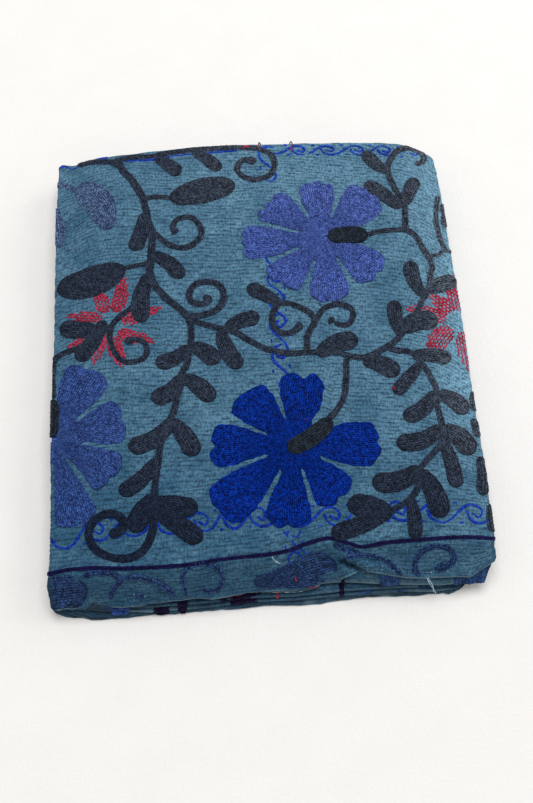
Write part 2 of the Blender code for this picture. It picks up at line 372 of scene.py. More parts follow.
def as_seen(points):
    """The plan: where the camera sees points on the level plane of the top face, in millimetres."""
    ray = points - EYE
    on_level = EYE + ray * ((PLAN_LEVEL - EYE[2]) / ray[..., 2:])
    return (on_level[..., :2] + ORIGIN) * 1000


def crease_height(plan):
    """The sum of the creases at places on the plan, in metres: height times exp(-(distance / width)^2)."""
    total = np.zeros(plan.shape[:-1])
    for x0, y0, x1, y1, width, height in CREASES:
        start, step = np.array([x0, y0]), np.array([x1 - x0, y1 - y0])
        share = np.clip(((plan - start) @ step) / (step @ step), 0, 1)
        away = plan - start - share[..., None] * step
        total += height * np.exp(-(away**2).sum(-1) / width**2)
    return total / 1000


def on_top(across, along):
    """1 on the top face and the hanging end, fading to 0 round the folds to the layers below."""
    from_side = np.minimum(across - ACROSS[2], ACROSS[3] - across) / 0.010 + 1
    return eased(from_side) * eased((along - ALONG[5]) / 0.012)


def cloth_lift(across, along):
    """How much creases lift the sheet at a place on it. Under the hanging end, the inner plies follow."""
    follows = np.minimum(section(across)[3], 0) * eased((along - ALONG[8]) / 0.012)
    return crease_height(as_seen(laid(across, along, CLOTH / 2))) * (on_top(across, along) + follows)


tuck_and_middle = np.array([[80.0, -255.5], [0.0, 0.0]])
print("lift in the tuck's trough and in the middle:", crease_height(tuck_and_middle).round(4))

# %% [markdown]
# ## Stitch rows
# Running stitches draw the layers together every 5 mm or so, and the cloth swells between them. The rows
# wander and fade. A Displace modifier with a wave texture could pucker the cloth, but its waves would be
# alike. A height over the sheet says it better: a groove at each row, deeper and shallower along it, over a
# slow swell. How far the rows stray is kept as an attribute, so that the material can paint shade into the
# same grooves, more sharply than the mesh shades them.

# %% Ripples of the running stitch
# millimetres: from one row to the next, and the depth of a row
ROW_PITCH, GROOVE_DEPTH = 4.6, 1.05
# height in millimetres, length of the waves across and along, and seed
STRAYING = ((2.1, 43, 20, 3), (1.3, 13, 8, 4))
SWELLING = ((0.40, 23, 9, 6), (0.42, 9, 6, 7))
GATHERS = ((0.42, 3.4, 14, 8),)
# how the rows slope in the middle, and how they droop past an x at the left and at the right
SLOPE, LEFT_DROOP, DROOP_FROM = -0.085, 0.0031, (-150, 130)


def cloth_x(across):
    """The x that a place on the top ply has, in millimetres."""
    return np.clip((RIGHT_TURN - (across - ACROSS[2])) * 1000, -232, 232)


def wander(across, along):
    """How far the stitched rows stray from straight lines, in millimetres.

    They lean towards the right and droop at both sides, except near the front, where they follow the hem.
    """
    x = cloth_x(across)
    right_droop = 0.0008 + 0.0017 * eased((along - ALONG[6] - 0.090) / 0.120)
    lean = SLOPE * x - LEFT_DROOP * np.maximum(DROOP_FROM[0] - x, 0) ** 2
    lean = lean - right_droop * np.maximum(x - DROOP_FROM[1], 0) ** 2
    lean = lean * (1 - eased((along - ALONG[7] + 0.130) / 0.115))
    return lean + waves(across * 1000, along * 1000, STRAYING)


def ripples(across, along):
    """Depth of the stitched rows, in metres: wandering rows t, each a groove 1 - |sin(pi t)|.

    Each row has its own strength along it, and a slow swell lies under them all. Where the rows cross the
    grid steeply, near the sides, the material's bump takes over. The hanging end is gathered instead.
    """
    a, t = across * 1000, along * 1000
    rows = (t + wander(across, along)) / ROW_PITCH
    near = np.round(rows)
    depth = np.clip(0.60 + 0.55 * soft_noise(a / 19 + 0.37 * near, near * 1.7, 5), 0.10, 1.1)
    steep = eased((np.abs(cloth_x(across)) - 150) / 35) * (along < ALONG[7] - 0.06)
    groove = (1 - np.abs(np.sin(math.pi * rows))) * (1 - 0.85 * steep)
    hanging = eased((along - ALONG[7] + 0.012) / 0.012)
    soft = waves(a, t, SWELLING) + hanging * waves(a, t, GATHERS)
    return (-GROOVE_DEPTH * (1 - 0.45 * hanging) * depth * groove + soft - 0.15) / 1000


print("rows on the top face:", round((ALONG[7] - ALONG[6]) * 1000 / ROW_PITCH))

# %% [markdown]
# ## Painted light and shade, and the border
# Cloth and floss are painted lighter at the right and the back, along the folded edges, as painted light
# and sheen from the back right, and darker in front. Both ends of the sheet have a border, divided off by a
# purple line; below it the cloth is painted darker, as painted shade on the band that faces forward, away
# from the light. Shading like this could be painted on vertex by vertex. Here it is a function of the
# place, which the cloth and the embroidery share, so that they are lit and shaded together.

# %% Painted light and sheen
def painted_light_at(plan_x, plan_y):
    """0 to 1, painted light and sheen: most at the right and the back, where light from the back right
    falls and glances, least in front.
    """
    right = 0.58 * eased((plan_x - 164) / 70) * (1 - 0.80 * eased((-40 - plan_y) / 130))
    right = right * (1 - 0.45 * eased((plan_y - 120) / 90))
    back = 0.17 * eased((plan_y - 110) / 120) * eased((plan_x + 190) / 160)
    front = 0.18 * eased((-90 - plan_y) / 110)
    return 0.265 + 0.0003 * plan_x + right + back - front


print("worn at the left, the middle and the right:", painted_light_at(np.array([-220, 0, 220]), 0).round(2))

# %% Where the purple line runs
# x and y, in millimetres on the plan
PURPLE_LINE = (
    (-236, -248), (-225, -247.5), (-206, -244.5), (-180, -244), (-148, -246), (-100, -246), (-74, -244),
    (-49, -241), (0, -238), (18, -235), (36, -229), (54, -224.6), (64, -225), (78, -230), (92, -235),
    (110, -232.6), (129, -231), (166, -230), (200, -230), (229, -233), (238, -236),
)
print("the purple line has", len(PURPLE_LINE), "points")

# %% [markdown]
# ## The sheet
# One closed mesh: a fine grid for the embroidered side, a coarse one for the plain side, which the folds
# hide, and a rim of small faces round the hems. Solidify on one grid would be simpler, but it would spend
# as many faces on the hidden side as on the one that shows. The lines are dense only where the stitching
# shows.

# %% The sheet's two grids
# how far each side of the cloth lies from its middle, in metres
FACE, LINING = 0.00155, 0.00120
# x from and to where the grid is finer, for the tuck
TUCK = (0.045, 0.100)
# steps from each fold across and along to the next
ACROSS_STEPS, ALONG_STEPS = (9, 8, 27, 34, 60, 6, 9), (22, 8, 16, 8, 16, 8, 400, 14, 34)
# metres from the hem: lines close to it, its round edge, and its seam with the seam's width
NEAR_HEM = np.array([0.0004, 0.0010, 0.0018, 0.0060, 0.0075, 0.0090])
HEM_ROUND, HEM_SEAM, SEAM_WIDTH = 0.0018, 0.0075, 0.0011


def spaced(marks, steps):
    """Even steps between one mark and the next, each with its own number of them."""
    lines = [np.linspace(a, b, n, endpoint=False) for a, b, n in zip(marks[:-1], marks[1:], steps)]
    return np.concatenate(lines + [marks[-1:]])


def with_hem(lines):
    """Extra lines close to both ends, where the hem is rounded."""
    return np.unique(np.concatenate([lines, lines[0] + NEAR_HEM, lines[-1] - NEAR_HEM]).round(6))


def from_hem(across, along):
    """Distance to the nearest hem."""
    return np.minimum(np.minimum(across, ACROSS[-1] - across), np.minimum(along, ALONG[-1] - along))


def hem_share(across, along):
    """How full the cloth is near its hems: a rounded edge, and a shallow groove where the hem is sewn."""
    distance = from_hem(across, along)
    sewn = 0.28 * np.exp(-(((distance - HEM_SEAM) / SEAM_WIDTH) ** 2))
    return 0.22 + 0.78 * quarter_round(distance, HEM_ROUND) - sewn


def every(step, count):
    """Every so many numbers below a count, and the last one."""
    return np.unique(np.append(np.arange(0, count, step), count - 1))


marks = np.sort(np.append(ACROSS, ACROSS[2] + RIGHT_TURN - np.array(TUCK)))
across_lines, along_lines = with_hem(spaced(marks, ACROSS_STEPS)), with_hem(spaced(ALONG, ALONG_STEPS))
grid_across, grid_along = np.meshgrid(across_lines, along_lines)
stitched = ripples(grid_across, grid_along) * eased((grid_along - ALONG[5]) / 0.02)
lift, full = cloth_lift(grid_across, grid_along), hem_share(grid_across, grid_along)
outer = laid(grid_across, grid_along, (FACE + stitched) * full + lift)

rows_kept, columns_kept = every(6, len(along_lines)), every(2, len(across_lines))
few = np.ix_(rows_kept, columns_kept)
inner = laid(grid_across[few], grid_along[few], lift[few] - LINING * full[few])
print("embroidered side", outer.shape[:2], "plain side", inner.shape[:2])

# %% Faces of the sheet
def grid_faces(rows, columns, first=0):
    """Quads of a grid numbered row by row, turned so that across x along is their outer side."""
    i, j = np.meshgrid(np.arange(rows - 1), np.arange(columns - 1), indexing="ij")
    corner = first + (i * columns + j).ravel()
    return np.stack([corner, corner + 1, corner + columns + 1, corner + columns], 1)


def rim_faces(outer_line, inner_line, kept, turned_round):
    """Faces between a hem of the fine side and of the coarse side: each has one coarse edge."""
    faces = []
    for k, (start, end) in enumerate(zip(kept[:-1], kept[1:])):
        fine = outer_line[start:end + 1].tolist()
        face = fine + [int(inner_line[k + 1]), int(inner_line[k])]
        faces.append(face[::-1] if turned_round else face)
    return faces


count = outer.shape[0] * outer.shape[1]
outer_index = np.arange(count).reshape(outer.shape[:2])
inner_index = count + np.arange(inner.shape[0] * inner.shape[1]).reshape(inner.shape[:2])
sheet_faces = grid_faces(*outer.shape[:2]).tolist()
sheet_faces += grid_faces(*inner.shape[:2], first=count)[:, ::-1].tolist()
sheet_faces += rim_faces(outer_index[:, 0], inner_index[:, 0], rows_kept, False)
sheet_faces += rim_faces(outer_index[:, -1], inner_index[:, -1], rows_kept, True)
sheet_faces += rim_faces(outer_index[0], inner_index[0], columns_kept, True)
sheet_faces += rim_faces(outer_index[-1], inner_index[-1], columns_kept, False)
sheet_points = np.concatenate([outer.reshape(-1, 3), inner.reshape(-1, 3)])
print("faces of the sheet:", len(sheet_faces))

# %% Making a mesh
def make_piece(name, points, faces, flat, attributes):
    """A smooth mesh object at the origin, with a UV map in centimetres of cloth and point attributes."""
    mesh = bpy.data.meshes.new(name)
    mesh.from_pydata(points.tolist(), [], faces)
    corners = np.empty(len(mesh.loops), np.int32)
    mesh.loops.foreach_get("vertex_index", corners)
    uv = mesh.uv_layers.new(name="cloth")
    uv.data.foreach_set("uv", flat[corners].astype(np.float32).ravel())
    for label, values in attributes.items():
        layer = mesh.attributes.new(label, "FLOAT", "POINT")
        layer.data.foreach_set("value", values.astype(np.float32))
    mesh.shade_smooth()
    piece = bpy.data.objects.new(name, mesh)
    scene.collection.objects.link(piece)
    print(name, sum(len(face) - 2 for face in faces), "triangles")
    return piece

# %% The quilt, with its shades
sheet_flat = np.concatenate([
    np.stack([grid_across, grid_along], -1).reshape(-1, 2),
    np.stack([grid_across[few], grid_along[few]], -1).reshape(-1, 2),
]) * 100
all_across, all_along = sheet_flat.T / 100
plan = as_seen(sheet_points)
plan_x, plan_y = plan.T
sheet_x = sheet_points[:, 0] * 1000

# painted shade below the purple line on the top ply, where the border faces forward, away from the light:
# dark, but lighter left of the middle and at the right, and darkest as painted shade in the tuck's crease
line_x, line_y = np.array(PURPLE_LINE).T
past_line = eased((np.interp(plan_x, line_x, line_y) - plan_y) / 6) * (all_along > ALONG[6] + 0.3)
lighter = 0.50 * np.exp(-(((plan_x + 30) / 40) ** 2)) + 0.52 * eased((plan_x - 30) / 40)
painted_tuck_shade = 0.5 * np.maximum(-1000 * crease_height(plan) - 2, 0)
# painted shade on the inner plies there, under the hanging end, and on the hems of the lowest run, in
# patches: darker still, most of all at the left, in the gap where the hems are crumpled
inner_ply = np.minimum(all_across - ACROSS[2], ACROSS[3] - all_across) < 0
under = (0.9 + 2.6 * eased((-148 - sheet_x) / 16)) * inner_ply
patchy_shade = 2.2 + 1.3 * soft_noise(sheet_x / 24, all_across * 40, 41)
crumpled = 2.4 * np.exp(-(((sheet_x + 174) / 17) ** 2))
low_hem_shade = (patchy_shade + crumpled) * eased((0.050 - all_along) / 0.006)
painted_shade_share = np.maximum(past_line * (1 - lighter), low_hem_shade) + (painted_tuck_shade + under) * past_line

quilt = make_piece("quilt_cloth", sheet_points, sheet_faces, sheet_flat, {
    "wander": wander(all_across, all_along),
    # painted light and sheen, less where the painted shade lies
    "painted_light": np.clip(painted_light_at(plan_x, plan_y) * (1 - 0.75 * np.minimum(painted_shade_share, 1)), 0, 1),
    # painted highlight on the rolled hems, together with their wear, less where the painted shade is deep
    "highlight_and_wear": np.exp(-((from_hem(all_across, all_along) / 0.0016) ** 2)) * (1 - 0.8 * (painted_shade_share > 1.5)),
    # painted shade: the border, the tuck, the plies under the hanging end and the lowest hems
    "border": painted_shade_share,
})

# %% [markdown]
# ## From the plan to the cloth
# The motifs are drawn on the plan, in millimetres. A Shrinkwrap modifier could press them onto the
# cloth, but not into its folds or round its hems. Here each of their points finds its own place on the
# sheet. The view of the sheet is worked out once on a table, and carried on evenly past the edges that the
# camera sees, so that a leaf may wrap round a fold. A point then slides over the cloth by as much as the
# camera sees it off its mark, until it is there.

# %% Table of the view
TABLE_STEP, TABLE_MARGIN = 0.002, 0.060
table_across = np.arange(ACROSS[1] - TABLE_MARGIN, ACROSS[4] + TABLE_MARGIN, TABLE_STEP)
table_along = np.arange(ALONG[5] - TABLE_MARGIN, ALONG[9] - 0.0005, TABLE_STEP)
seen = as_seen(laid(*np.meshgrid(table_across, table_along), CLOTH / 2))
seen_x, seen_y = seen[..., 0].copy(), seen[..., 1].copy()

table_column = np.arange(len(table_across))
rightmost, leftmost = seen_x.argmax(1)[:, None], seen_x.argmin(1)[:, None]
past_right = np.take_along_axis(seen_x, rightmost, 1) + (rightmost - table_column) * TABLE_STEP * 1000
past_left = np.take_along_axis(seen_x, leftmost, 1) - (table_column - leftmost) * TABLE_STEP * 1000
seen_x = np.where(table_column > leftmost, past_left, seen_x)
seen_x = np.where(table_column < rightmost, past_right, seen_x)

table_row = np.arange(len(table_along))[:, None]
furthest = seen_y.argmax(0)[None]
past_back = np.take_along_axis(seen_y, furthest, 0) + (furthest - table_row) * TABLE_STEP * 1000
seen_y = np.where(table_row < furthest, past_back, seen_y)
print("seen from", np.round([seen_x.min(), seen_y.min()]), "to", np.round([seen_x.max(), seen_y.max()]))


def look_up(table, across, along):
    """A table's value between its entries, blended from the four around."""
    i = np.clip((along - table_along[0]) / TABLE_STEP, 0, len(table_along) - 1.001)
    j = np.clip((across - table_across[0]) / TABLE_STEP, 0, len(table_across) - 1.001)
    row, column = i.astype(int), j.astype(int)
    up, right = i - row, j - column
    low = table[row, column] * (1 - right) + table[row, column + 1] * right
    high = table[row + 1, column] * (1 - right) + table[row + 1, column + 1] * right
    return low * (1 - up) + high * up


def on_cloth(x, y):
    """Distances across and along the sheet of points on the plan."""
    across = ACROSS[2] + RIGHT_TURN - x / 1000
    along = ALONG[6] + 0.262 - y / 1000
    for _ in range(60):
        across = across + (look_up(seen_x, across, along) - x) / 1000
        along = along + (look_up(seen_y, across, along) - y) / 1000
        across = np.clip(across, table_across[0], table_across[-1])
        along = np.clip(along, table_along[0], table_along[-1])
    return across, along


found = on_cloth(np.array([0.0, -150.0]), np.array([0.0, -260.0]))
print("plan to cloth and back:", np.round(as_seen(laid(*found, CLOTH / 2)), 2))

# %% [markdown]
# ## Chain stitch
# Stems, leaves and petals are filled with rows of chain stitch in thick cotton floss. They stand about a
# millimetre proud, with a rounded edge, and look knobbly, because each stitch is a small loop. Every loop
# could be a bevelled curve of its own, but there are tens of thousands of them. Here each motif is a grid
# that runs along it and across it: three lines across for a row of stitches, so that the groove between
# rows is a real one, and a slow beat along the rows for the loops.

# %% Curves on the plan
def curve_through(points):
    """A smooth curve through points: cubic pieces whose slope at a point joins its two neighbours."""
    p = np.array(points, float)
    p = np.vstack([2 * p[0] - p[1], p, 2 * p[-1] - p[-2]])
    t = np.linspace(0, 1, 20, endpoint=False)[:, None]
    pieces = [
        0.5 * (2 * b + (c - a) * t + (2 * a - 5 * b + 4 * c - d) * t**2 + (3 * b - a - 3 * c + d) * t**3)
        for a, b, c, d in zip(p[:-3], p[1:-2], p[2:-1], p[3:])
    ]
    line = np.vstack(pieces + [p[-2:-1]])
    length = np.append(0, np.cumsum(np.hypot(*np.diff(line, axis=0).T)))
    return line, length


def along_curve(curve, distance):
    """Places on a curve at distances along it, and the directions to its left there."""
    line, length = curve
    place = np.stack([np.interp(distance, length, line[:, k]) for k in (0, 1)], -1)
    ahead = np.stack([np.interp(distance + 0.6, length, line[:, k]) for k in (0, 1)], -1)
    behind = np.stack([np.interp(distance - 0.6, length, line[:, k]) for k in (0, 1)], -1)
    way = ahead - behind
    way /= np.maximum(np.linalg.norm(way, axis=-1, keepdims=True), 1e-6)
    return place, np.stack([-way[..., 1], way[..., 0]], -1)


print("a curve through three points has", len(curve_through([(0, 0), (5, 2), (9, 9)])[0]), "steps")

# %% Relief of the stitches
# millimetres from one row of stitches to the next, from one loop to the next, and between grid lines
FLOSS_ROW, LOOP, CELL = 2.7, 3.6, 0.95
# how far a motif's rim goes into the cloth, how wide its rounded edge is, and how deep its grooves are
SINK, ROUND_EDGE, GROOVE = 0.9, 1.5, 0.60
# rows narrower than this have shallower grooves
NARROW_ROW = 1.6
LINES_TO_A_ROW = 3


def relief_of(number, distance, across, seed):
    """0 in the grooves between rows to 1 on the loops: number counts grid lines, three to a row."""
    row = number // LINES_TO_A_ROW
    crest = np.where(number % LINES_TO_A_ROW == 0, 0.0, 1.0)
    beat = np.cos(2 * math.pi * (distance / LOOP + 0.5 * row + 0.35 * soft_noise(distance / 5, row, seed)))
    rough = soft_noise(distance / 2.1, across / 2.1, seed + 1)
    return np.clip(crest * (0.62 + 0.30 * beat) + 0.34 * rough, 0, 1)


def raised(edge, relief, row_width, height):
    """Height over the cloth: a quarter round at the outline, less the grooves, and sunk at the rim."""
    body = quarter_round(edge, ROUND_EDGE)
    grooves = GROOVE * (1 - relief) * np.clip(row_width / NARROW_ROW, 0, 1)
    return (SINK + height) * body - SINK - grooves * body


heights = raised(np.array([0, 0.5, 1.5]), 1.0, FLOSS_ROW, 1.45)
print("height at 0, 0.5 and 1.5 mm from the edge:", heights.round(2))

# %% Bands
def lines_across(rows):
    """The grid lines across some rows of stitches: their numbers, and their shares from -1 to 1."""
    number = np.arange(LINES_TO_A_ROW * rows + 1)
    return number, number / number[-1] * 2 - 1


def band(points, width, seed=1, height=1.45, row=FLOSS_ROW, cell=CELL):
    """A stem, curl or leaf: rows of stitches along a curve. width is a number, or pairs of share and width.

    The outline is the curve moved out by half the width on both sides, closed by a round cap at each end.
    """
    curve = curve_through(points)
    total = curve[1][-1]
    pairs = np.array(width if hasattr(width, "__len__") else [(0, width), (1, width)], float)
    caps = [min(pairs[0, 1] / 2, total / 2), min(pairs[-1, 1] / 2, total / 2)]
    bow = 1 - np.cos(np.radians(np.linspace(7, 90, 5)))
    middle = np.arange(caps[0] + cell, total - caps[1] - cell / 2, cell)
    distance = np.concatenate([caps[0] * bow, middle, total - caps[1] * bow[::-1]])
    half = through(distance / total, pairs[:, 0], pairs[:, 1]) / 2
    for cap, gone in zip(caps, (distance, total - distance)):
        half = half * quarter_round(gone, cap)
    widest = pairs[:, 1].max()
    rows = max(1, round(widest / row))
    number, share = lines_across(rows)
    place, aside = along_curve(curve, distance)
    grid_u = distance[:, None] + 0 * share
    grid_v = share * rows * row / 2 + 0 * grid_u
    uneven = min(0.38, 0.07 * widest) * soft_noise(grid_u / 2.3, share * 2 + 11, seed + 3)
    out = share * half[:, None] + uneven * eased(half / 2)[:, None]
    spot = place[:, None] + aside[:, None] * out[..., None]
    relief = relief_of(number[None], grid_u, grid_v, seed)
    edge = (1 - np.abs(share)) * half[:, None]
    rise = raised(edge, relief, 2 * half[:, None] / rows, height)
    return spot[..., 0], spot[..., 1], rise, grid_u, grid_v, relief


print("a stem 30 by 8 mm has", band([(0, 0), (30, 0)], 8)[2].size, "points")

# %% Leaves as bands
# shares of a leaf's length and of its width
LEAF = ((0, 0.55), (0.20, 0.76), (0.50, 0.96), (0.76, 1.00), (1, 0.86))
SPINDLE = ((0, 0.34), (0.18, 0.76), (0.48, 1.00), (0.80, 0.84), (1, 0.40))


def leaf(x0, y0, x1, y1, width, bend=0.06, shape=LEAF, seed=1, height=1.45):
    """A leaf from its foot to its tip, bowed to one side by a share of its length."""
    foot, tip = np.array([x0, y0], float), np.array([x1, y1], float)
    way = tip - foot
    bowed = (foot + tip) / 2 + bend * np.array([-way[1], way[0]])
    return band([foot, bowed, tip], [(s, w * width) for s, w in shape], seed, height)


print("a leaf 36 by 20 mm has", leaf(0, 0, 36, 0, 20)[2].size, "points")

# %% Petals
# the number of lobes of a petal, and where its notches lie, from -1 to 1 across it
NOTCHES = {1: (), 2: (0.0,), 3: (-0.36, 0.36)}
# where the petals of a flower part, and how far they overlap before it, in millimetres
PETALS_PART_AT, OVERLAP = 27, 5.0
# the rounded corners as a share of the width, and how wide a notch is across the petal
CORNER_SHARE, NOTCH_WIDTH = 0.17, 0.25


def fan(x0, y0, x1, y1):
    """A petal's middle and length, and the directions out along it and to its left."""
    centre, tip = np.array([x0, y0], float), np.array([x1, y1], float)
    length = np.hypot(*(tip - centre))
    out = (tip - centre) / length
    return centre, length, out, np.array([-out[1], out[0]])


def petal(x0, y0, x1, y1, width, lobes=1, sides=(0.43, 0.43), seed=1):
    """A petal as a fan from the flower's middle, to a broad end with rounded corners and notches.

    The distance out is u L (1 - (0.04 w^4 + 0.03 w^2 + 0.05 notch(w)) u^3). Half the width grows by sides.
    The petals overlap up to where they part, and from there a gap opens evenly between them. At the end,
    each corner is a quarter round.
    """
    centre, length, out, aside = fan(x0, y0, x1, y1)
    corner = CORNER_SHARE * width
    bow = 1 - corner / length * (1 - np.sin(np.radians(np.linspace(0, 90, 8))))
    u = np.append(np.arange(0.05, bow[0] - 0.4 * CELL / length, CELL / length), bow)[:, None]
    rows = max(2, round(width / FLOSS_ROW))
    number, w = (line[None] for line in lines_across(rows))
    notch = sum((np.exp(-(((w - place) / NOTCH_WIDTH) ** 2)) for place in NOTCHES[lobes]), 0 * w)
    own = 0.03 * soft_noise(w * 2.3 + 9.3, u * 0 + seed * 0.77, 21)
    reach = u * length * (1 - (0.04 * w**4 + 0.03 * w**2 + 0.05 * notch + own) * u**3)
    past = u * length - PETALS_PART_AT - 6 * soft_noise(np.sign(w) + 5.5, u * 0 + seed * 1.31, 22)
    parted = OVERLAP * (1 - eased((past + 5) / 9)) - 1.4 - 0.05 * np.maximum(past, 0)
    free = np.maximum(np.where(w > 0, sides[1], sides[0]) * u * length + parted, 1.0)
    half = (free**-9 + (0.49 * width) ** -9) ** (-1 / 9)
    half = half - corner * (1 - quarter_round((1 - u) * length, corner))
    uneven = 0.80 * soft_noise(reach / 4.0, w * 2 + 11, seed + 3) * eased(half / 4)
    spot = centre + reach[..., None] * out + (w * half + uneven)[..., None] * aside
    grid_v = w * width / 2 + 0 * reach
    relief = relief_of(number, reach, grid_v, seed)
    edge = np.minimum((1 - np.abs(w)) * half, (1 - u) * length)
    rise = raised(edge, relief, 2 * half / rows, 1.5)
    return spot[..., 0], spot[..., 1], rise, reach, grid_v, relief


print("a petal 80 by 50 mm has", petal(0, 0, 80, 0, 50)[2].size, "points")

# %% Lattice petals
# millimetres: from one row to the next, its wave's length, how far the wave swings, its height over the
# cloth, and the grid's step along it
LATTICE_ROW, LATTICE_WAVE, LATTICE_SWING, LATTICE_HEIGHT, LATTICE_CELL = 3.4, 5.2, 0.72, 0.80, 0.75


def lattice_petal(x0, y0, x1, y1, width, seed=1):
    """A pointed petal of waving stitch rows. Neighbours wave against each other, so they touch and part."""
    centre, length, out, aside = fan(x0, y0, x1, y1)
    share = np.linspace(0.08, 1.0, 90)
    half = width / 2 * np.sin(math.pi * share**0.80) ** 0.75
    rows = []
    for k, offset in enumerate(np.arange(-width / 2 + 1.3, width / 2 - 0.6, LATTICE_ROW)):
        inside = share[half >= abs(offset)]
        if len(inside) < 8:
            continue
        step = np.arange(inside[0] * length, inside[-1] * length, 1.3)
        wave = offset + LATTICE_SWING * np.cos(2 * math.pi * step / LATTICE_WAVE + math.pi * k)
        line = centre + step[:, None] * out + wave[:, None] * aside
        rows.append(band(line, LATTICE_ROW, seed + k, LATTICE_HEIGHT, LATTICE_ROW, LATTICE_CELL))
    return rows


print("a lattice petal 50 by 17 mm has", len(lattice_petal(0, 0, 50, 0, 17)), "rows")

# %% Sewing motifs on
# metres over the middle of the cloth, where the embroidery begins, and over the floor, where it ends
EMBROIDERY_BASE, OVER_FLOOR = 0.00150, 0.0002


def sew(name, on_plan=(), at_cloth=()):
    """One piece of all these motifs: their points find their place on the sheet, and rise over it.

    A motif at_cloth gives millimetres across and along the sheet, instead of places on the plan. One that
    rises below the sheet's middle lies on the plain side, and is turned to face away from it. What lies
    under the stack is pressed flat on the floor.
    """
    points, faces, flat, relief, first = [], [], [], [], 0
    for x, y, rise, u, v, loops in [*on_plan, *at_cloth]:
        faces.append(grid_faces(*rise.shape, first))
        points.append(np.stack([x, y, rise], -1).reshape(-1, 3))
        flat.append(np.stack([u + 7 * len(faces), v], -1).reshape(-1, 2))
        relief.append((loops + 0 * rise).ravel())
        first += rise.size
    drawn = sum(len(part) for part in points[:len(on_plan)])
    points, flat = np.concatenate(points), np.concatenate(flat) / 10
    across, along = points[:, 0] / 1000, points[:, 1] / 1000
    if drawn:
        across[:drawn], along[:drawn] = on_cloth(points[:drawn, 0], points[:drawn, 1])
    over = EMBROIDERY_BASE + points[:, 2] / 1000 + cloth_lift(across, along)
    placed = laid(across, along, over)
    placed[:, 2] = np.maximum(placed[:, 2], OVER_FLOOR)
    quads = np.concatenate(faces)
    a, b, d = placed[quads[:, 0]], placed[quads[:, 1]], placed[quads[:, 3]]
    up = (laid(across, along, over + np.where(over < 0, -0.001, 0.001)) - placed)[quads[:, 0]]
    inside_out = (np.cross(b - a, d - a) * up).sum(1) < 0
    quads[inside_out] = quads[inside_out][:, ::-1]
    # the floss gets painted shade in its grooves from relief, and painted light and sheen as the cloth does
    shades = {"relief": np.concatenate(relief), "painted_light": np.clip(painted_light_at(*as_seen(placed).T), 0, 1)}
    return make_piece(name, placed, quads.tolist(), flat, shades)

# %% [markdown]
# ## Vines
# The vines run over the whole face: a main stem on the left, one that crosses to the right, and their side
# stems, leaves and curls, in navy that is almost black. A curve object with a bevel would give round cords,
# and a drawing traced from a picture would be hundreds of points. An embroiderer works from a few marks on
# the cloth, and so does this: a stem is a width and some points, and a leaf is its foot, its tip, its width
# and how far it bends.

# %% Stems and curls
# width, then points of the curve, in millimetres on the plan
STEMS = (
    (8.0, (-206, 252), (-185, 256), (-166, 255), (-158, 249)),
    (9.5, (-158, 258), (-152, 242), (-141, 228), (-130, 207), (-126, 192), (-123, 172), (-118, 153),
     (-119, 131), (-120, 116), (-121, 101), (-115, 82), (-102, 65), (-87, 50), (-78, 40)),
    (8.0, (-162, 257), (-140, 261), (-118, 261), (-99, 265), (-55, 269), (-2, 269), (19, 263), (28, 254),
     (29, 241), (23, 229), (9, 223), (-4, 225), (-14, 233), (-15, 243), (-9, 251), (0, 252)),
    (7.0, (-127, 201), (-112, 203), (-96, 201)),
    (7.0, (-120, 112), (-136, 110), (-150, 107)),
    (8.0, (-117, 155), (-105, 142), (-92, 133), (-79, 132), (-66, 140), (-61, 151), (-64, 164),
     (-71, 172), (-81, 173), (-90, 169), (-94, 160), (-92, 153)),
    (7.5, (-126, 80), (-140, 57), (-156, 44), (-165, 31), (-166, 16), (-161, 0), (-152, -11), (-141, -13),
     (-130, -9), (-125, 1), (-129, 11), (-139, 15), (-147, 13)),
    (8.6, (-78, 42), (-64, 42), (-49, 47), (-40, 57), (-38, 70), (-44, 81), (-55, 85), (-68, 83), (-76, 74),
     (-77, 64), (-70, 57), (-59, 57), (-55, 64)),
    (8.0, (-166, 33), (-178, 24), (-190, 14), (-200, 7), (-214, 2), (-225, -5), (-228.5, -20),
     (-227, -54)),
    (8.2, (-80, 44), (-76, 29), (-76, 16), (-78, 3), (-81, -15), (-87, -30), (-94, -62), (-100, -82),
     (-111, -109), (-115, -135), (-117, -150), (-120, -172)),
    (8.0, (-82, 44), (-68, 33), (-55, 28), (-42, 24), (-29, 20), (-16, 11), (0, 0), (11, -5), (30, -10),
     (51, -10), (84, -12), (99, -17), (114, -19), (129, -13), (148, -2), (157, 7), (166, 18), (177, 33),
     (185, 48), (194, 62), (199, 82), (202, 93), (200, 105), (194, 119), (187, 136), (176, 146)),
    (8.2, (52, -8), (52, 2), (54, 13), (62, 28), (59, 38), (49, 46), (36, 52), (24, 54)),
    (7.5, (62, 26), (71, 41), (82, 48), (95, 49), (105, 42), (106, 33), (101, 24), (92, 22), (84, 26)),
    (7.0, (129, 139), (148, 144), (176, 145)),
    (8.5, (176, 141), (178, 160), (179, 175), (176, 187), (168, 209), (164, 226), (166, 239), (170, 246),
     (177, 256), (189, 260), (202, 256), (209, 248), (207, 239), (198, 237)),
    (6.0, (196, 106), (204, 108), (211, 108), (218, 114), (228, 111)),
    (7.0, (220, 113), (216, 130), (214, 149), (215, 166), (220, 190)),
    (7.6, (95, -18), (93, -30), (92, -43), (88, -64), (80, -79), (67, -93)),
    (7.6, (140, -8), (152, -12), (164, -14), (172, -22), (182, -40), (189, -62), (188, -81), (190, -99),
     (191, -112), (186, -126), (170, -143), (158, -156)),
    (7.6, (186, -128), (170, -143), (160, -155), (157, -172), (148, -185), (134, -194), (117, -203)),
)
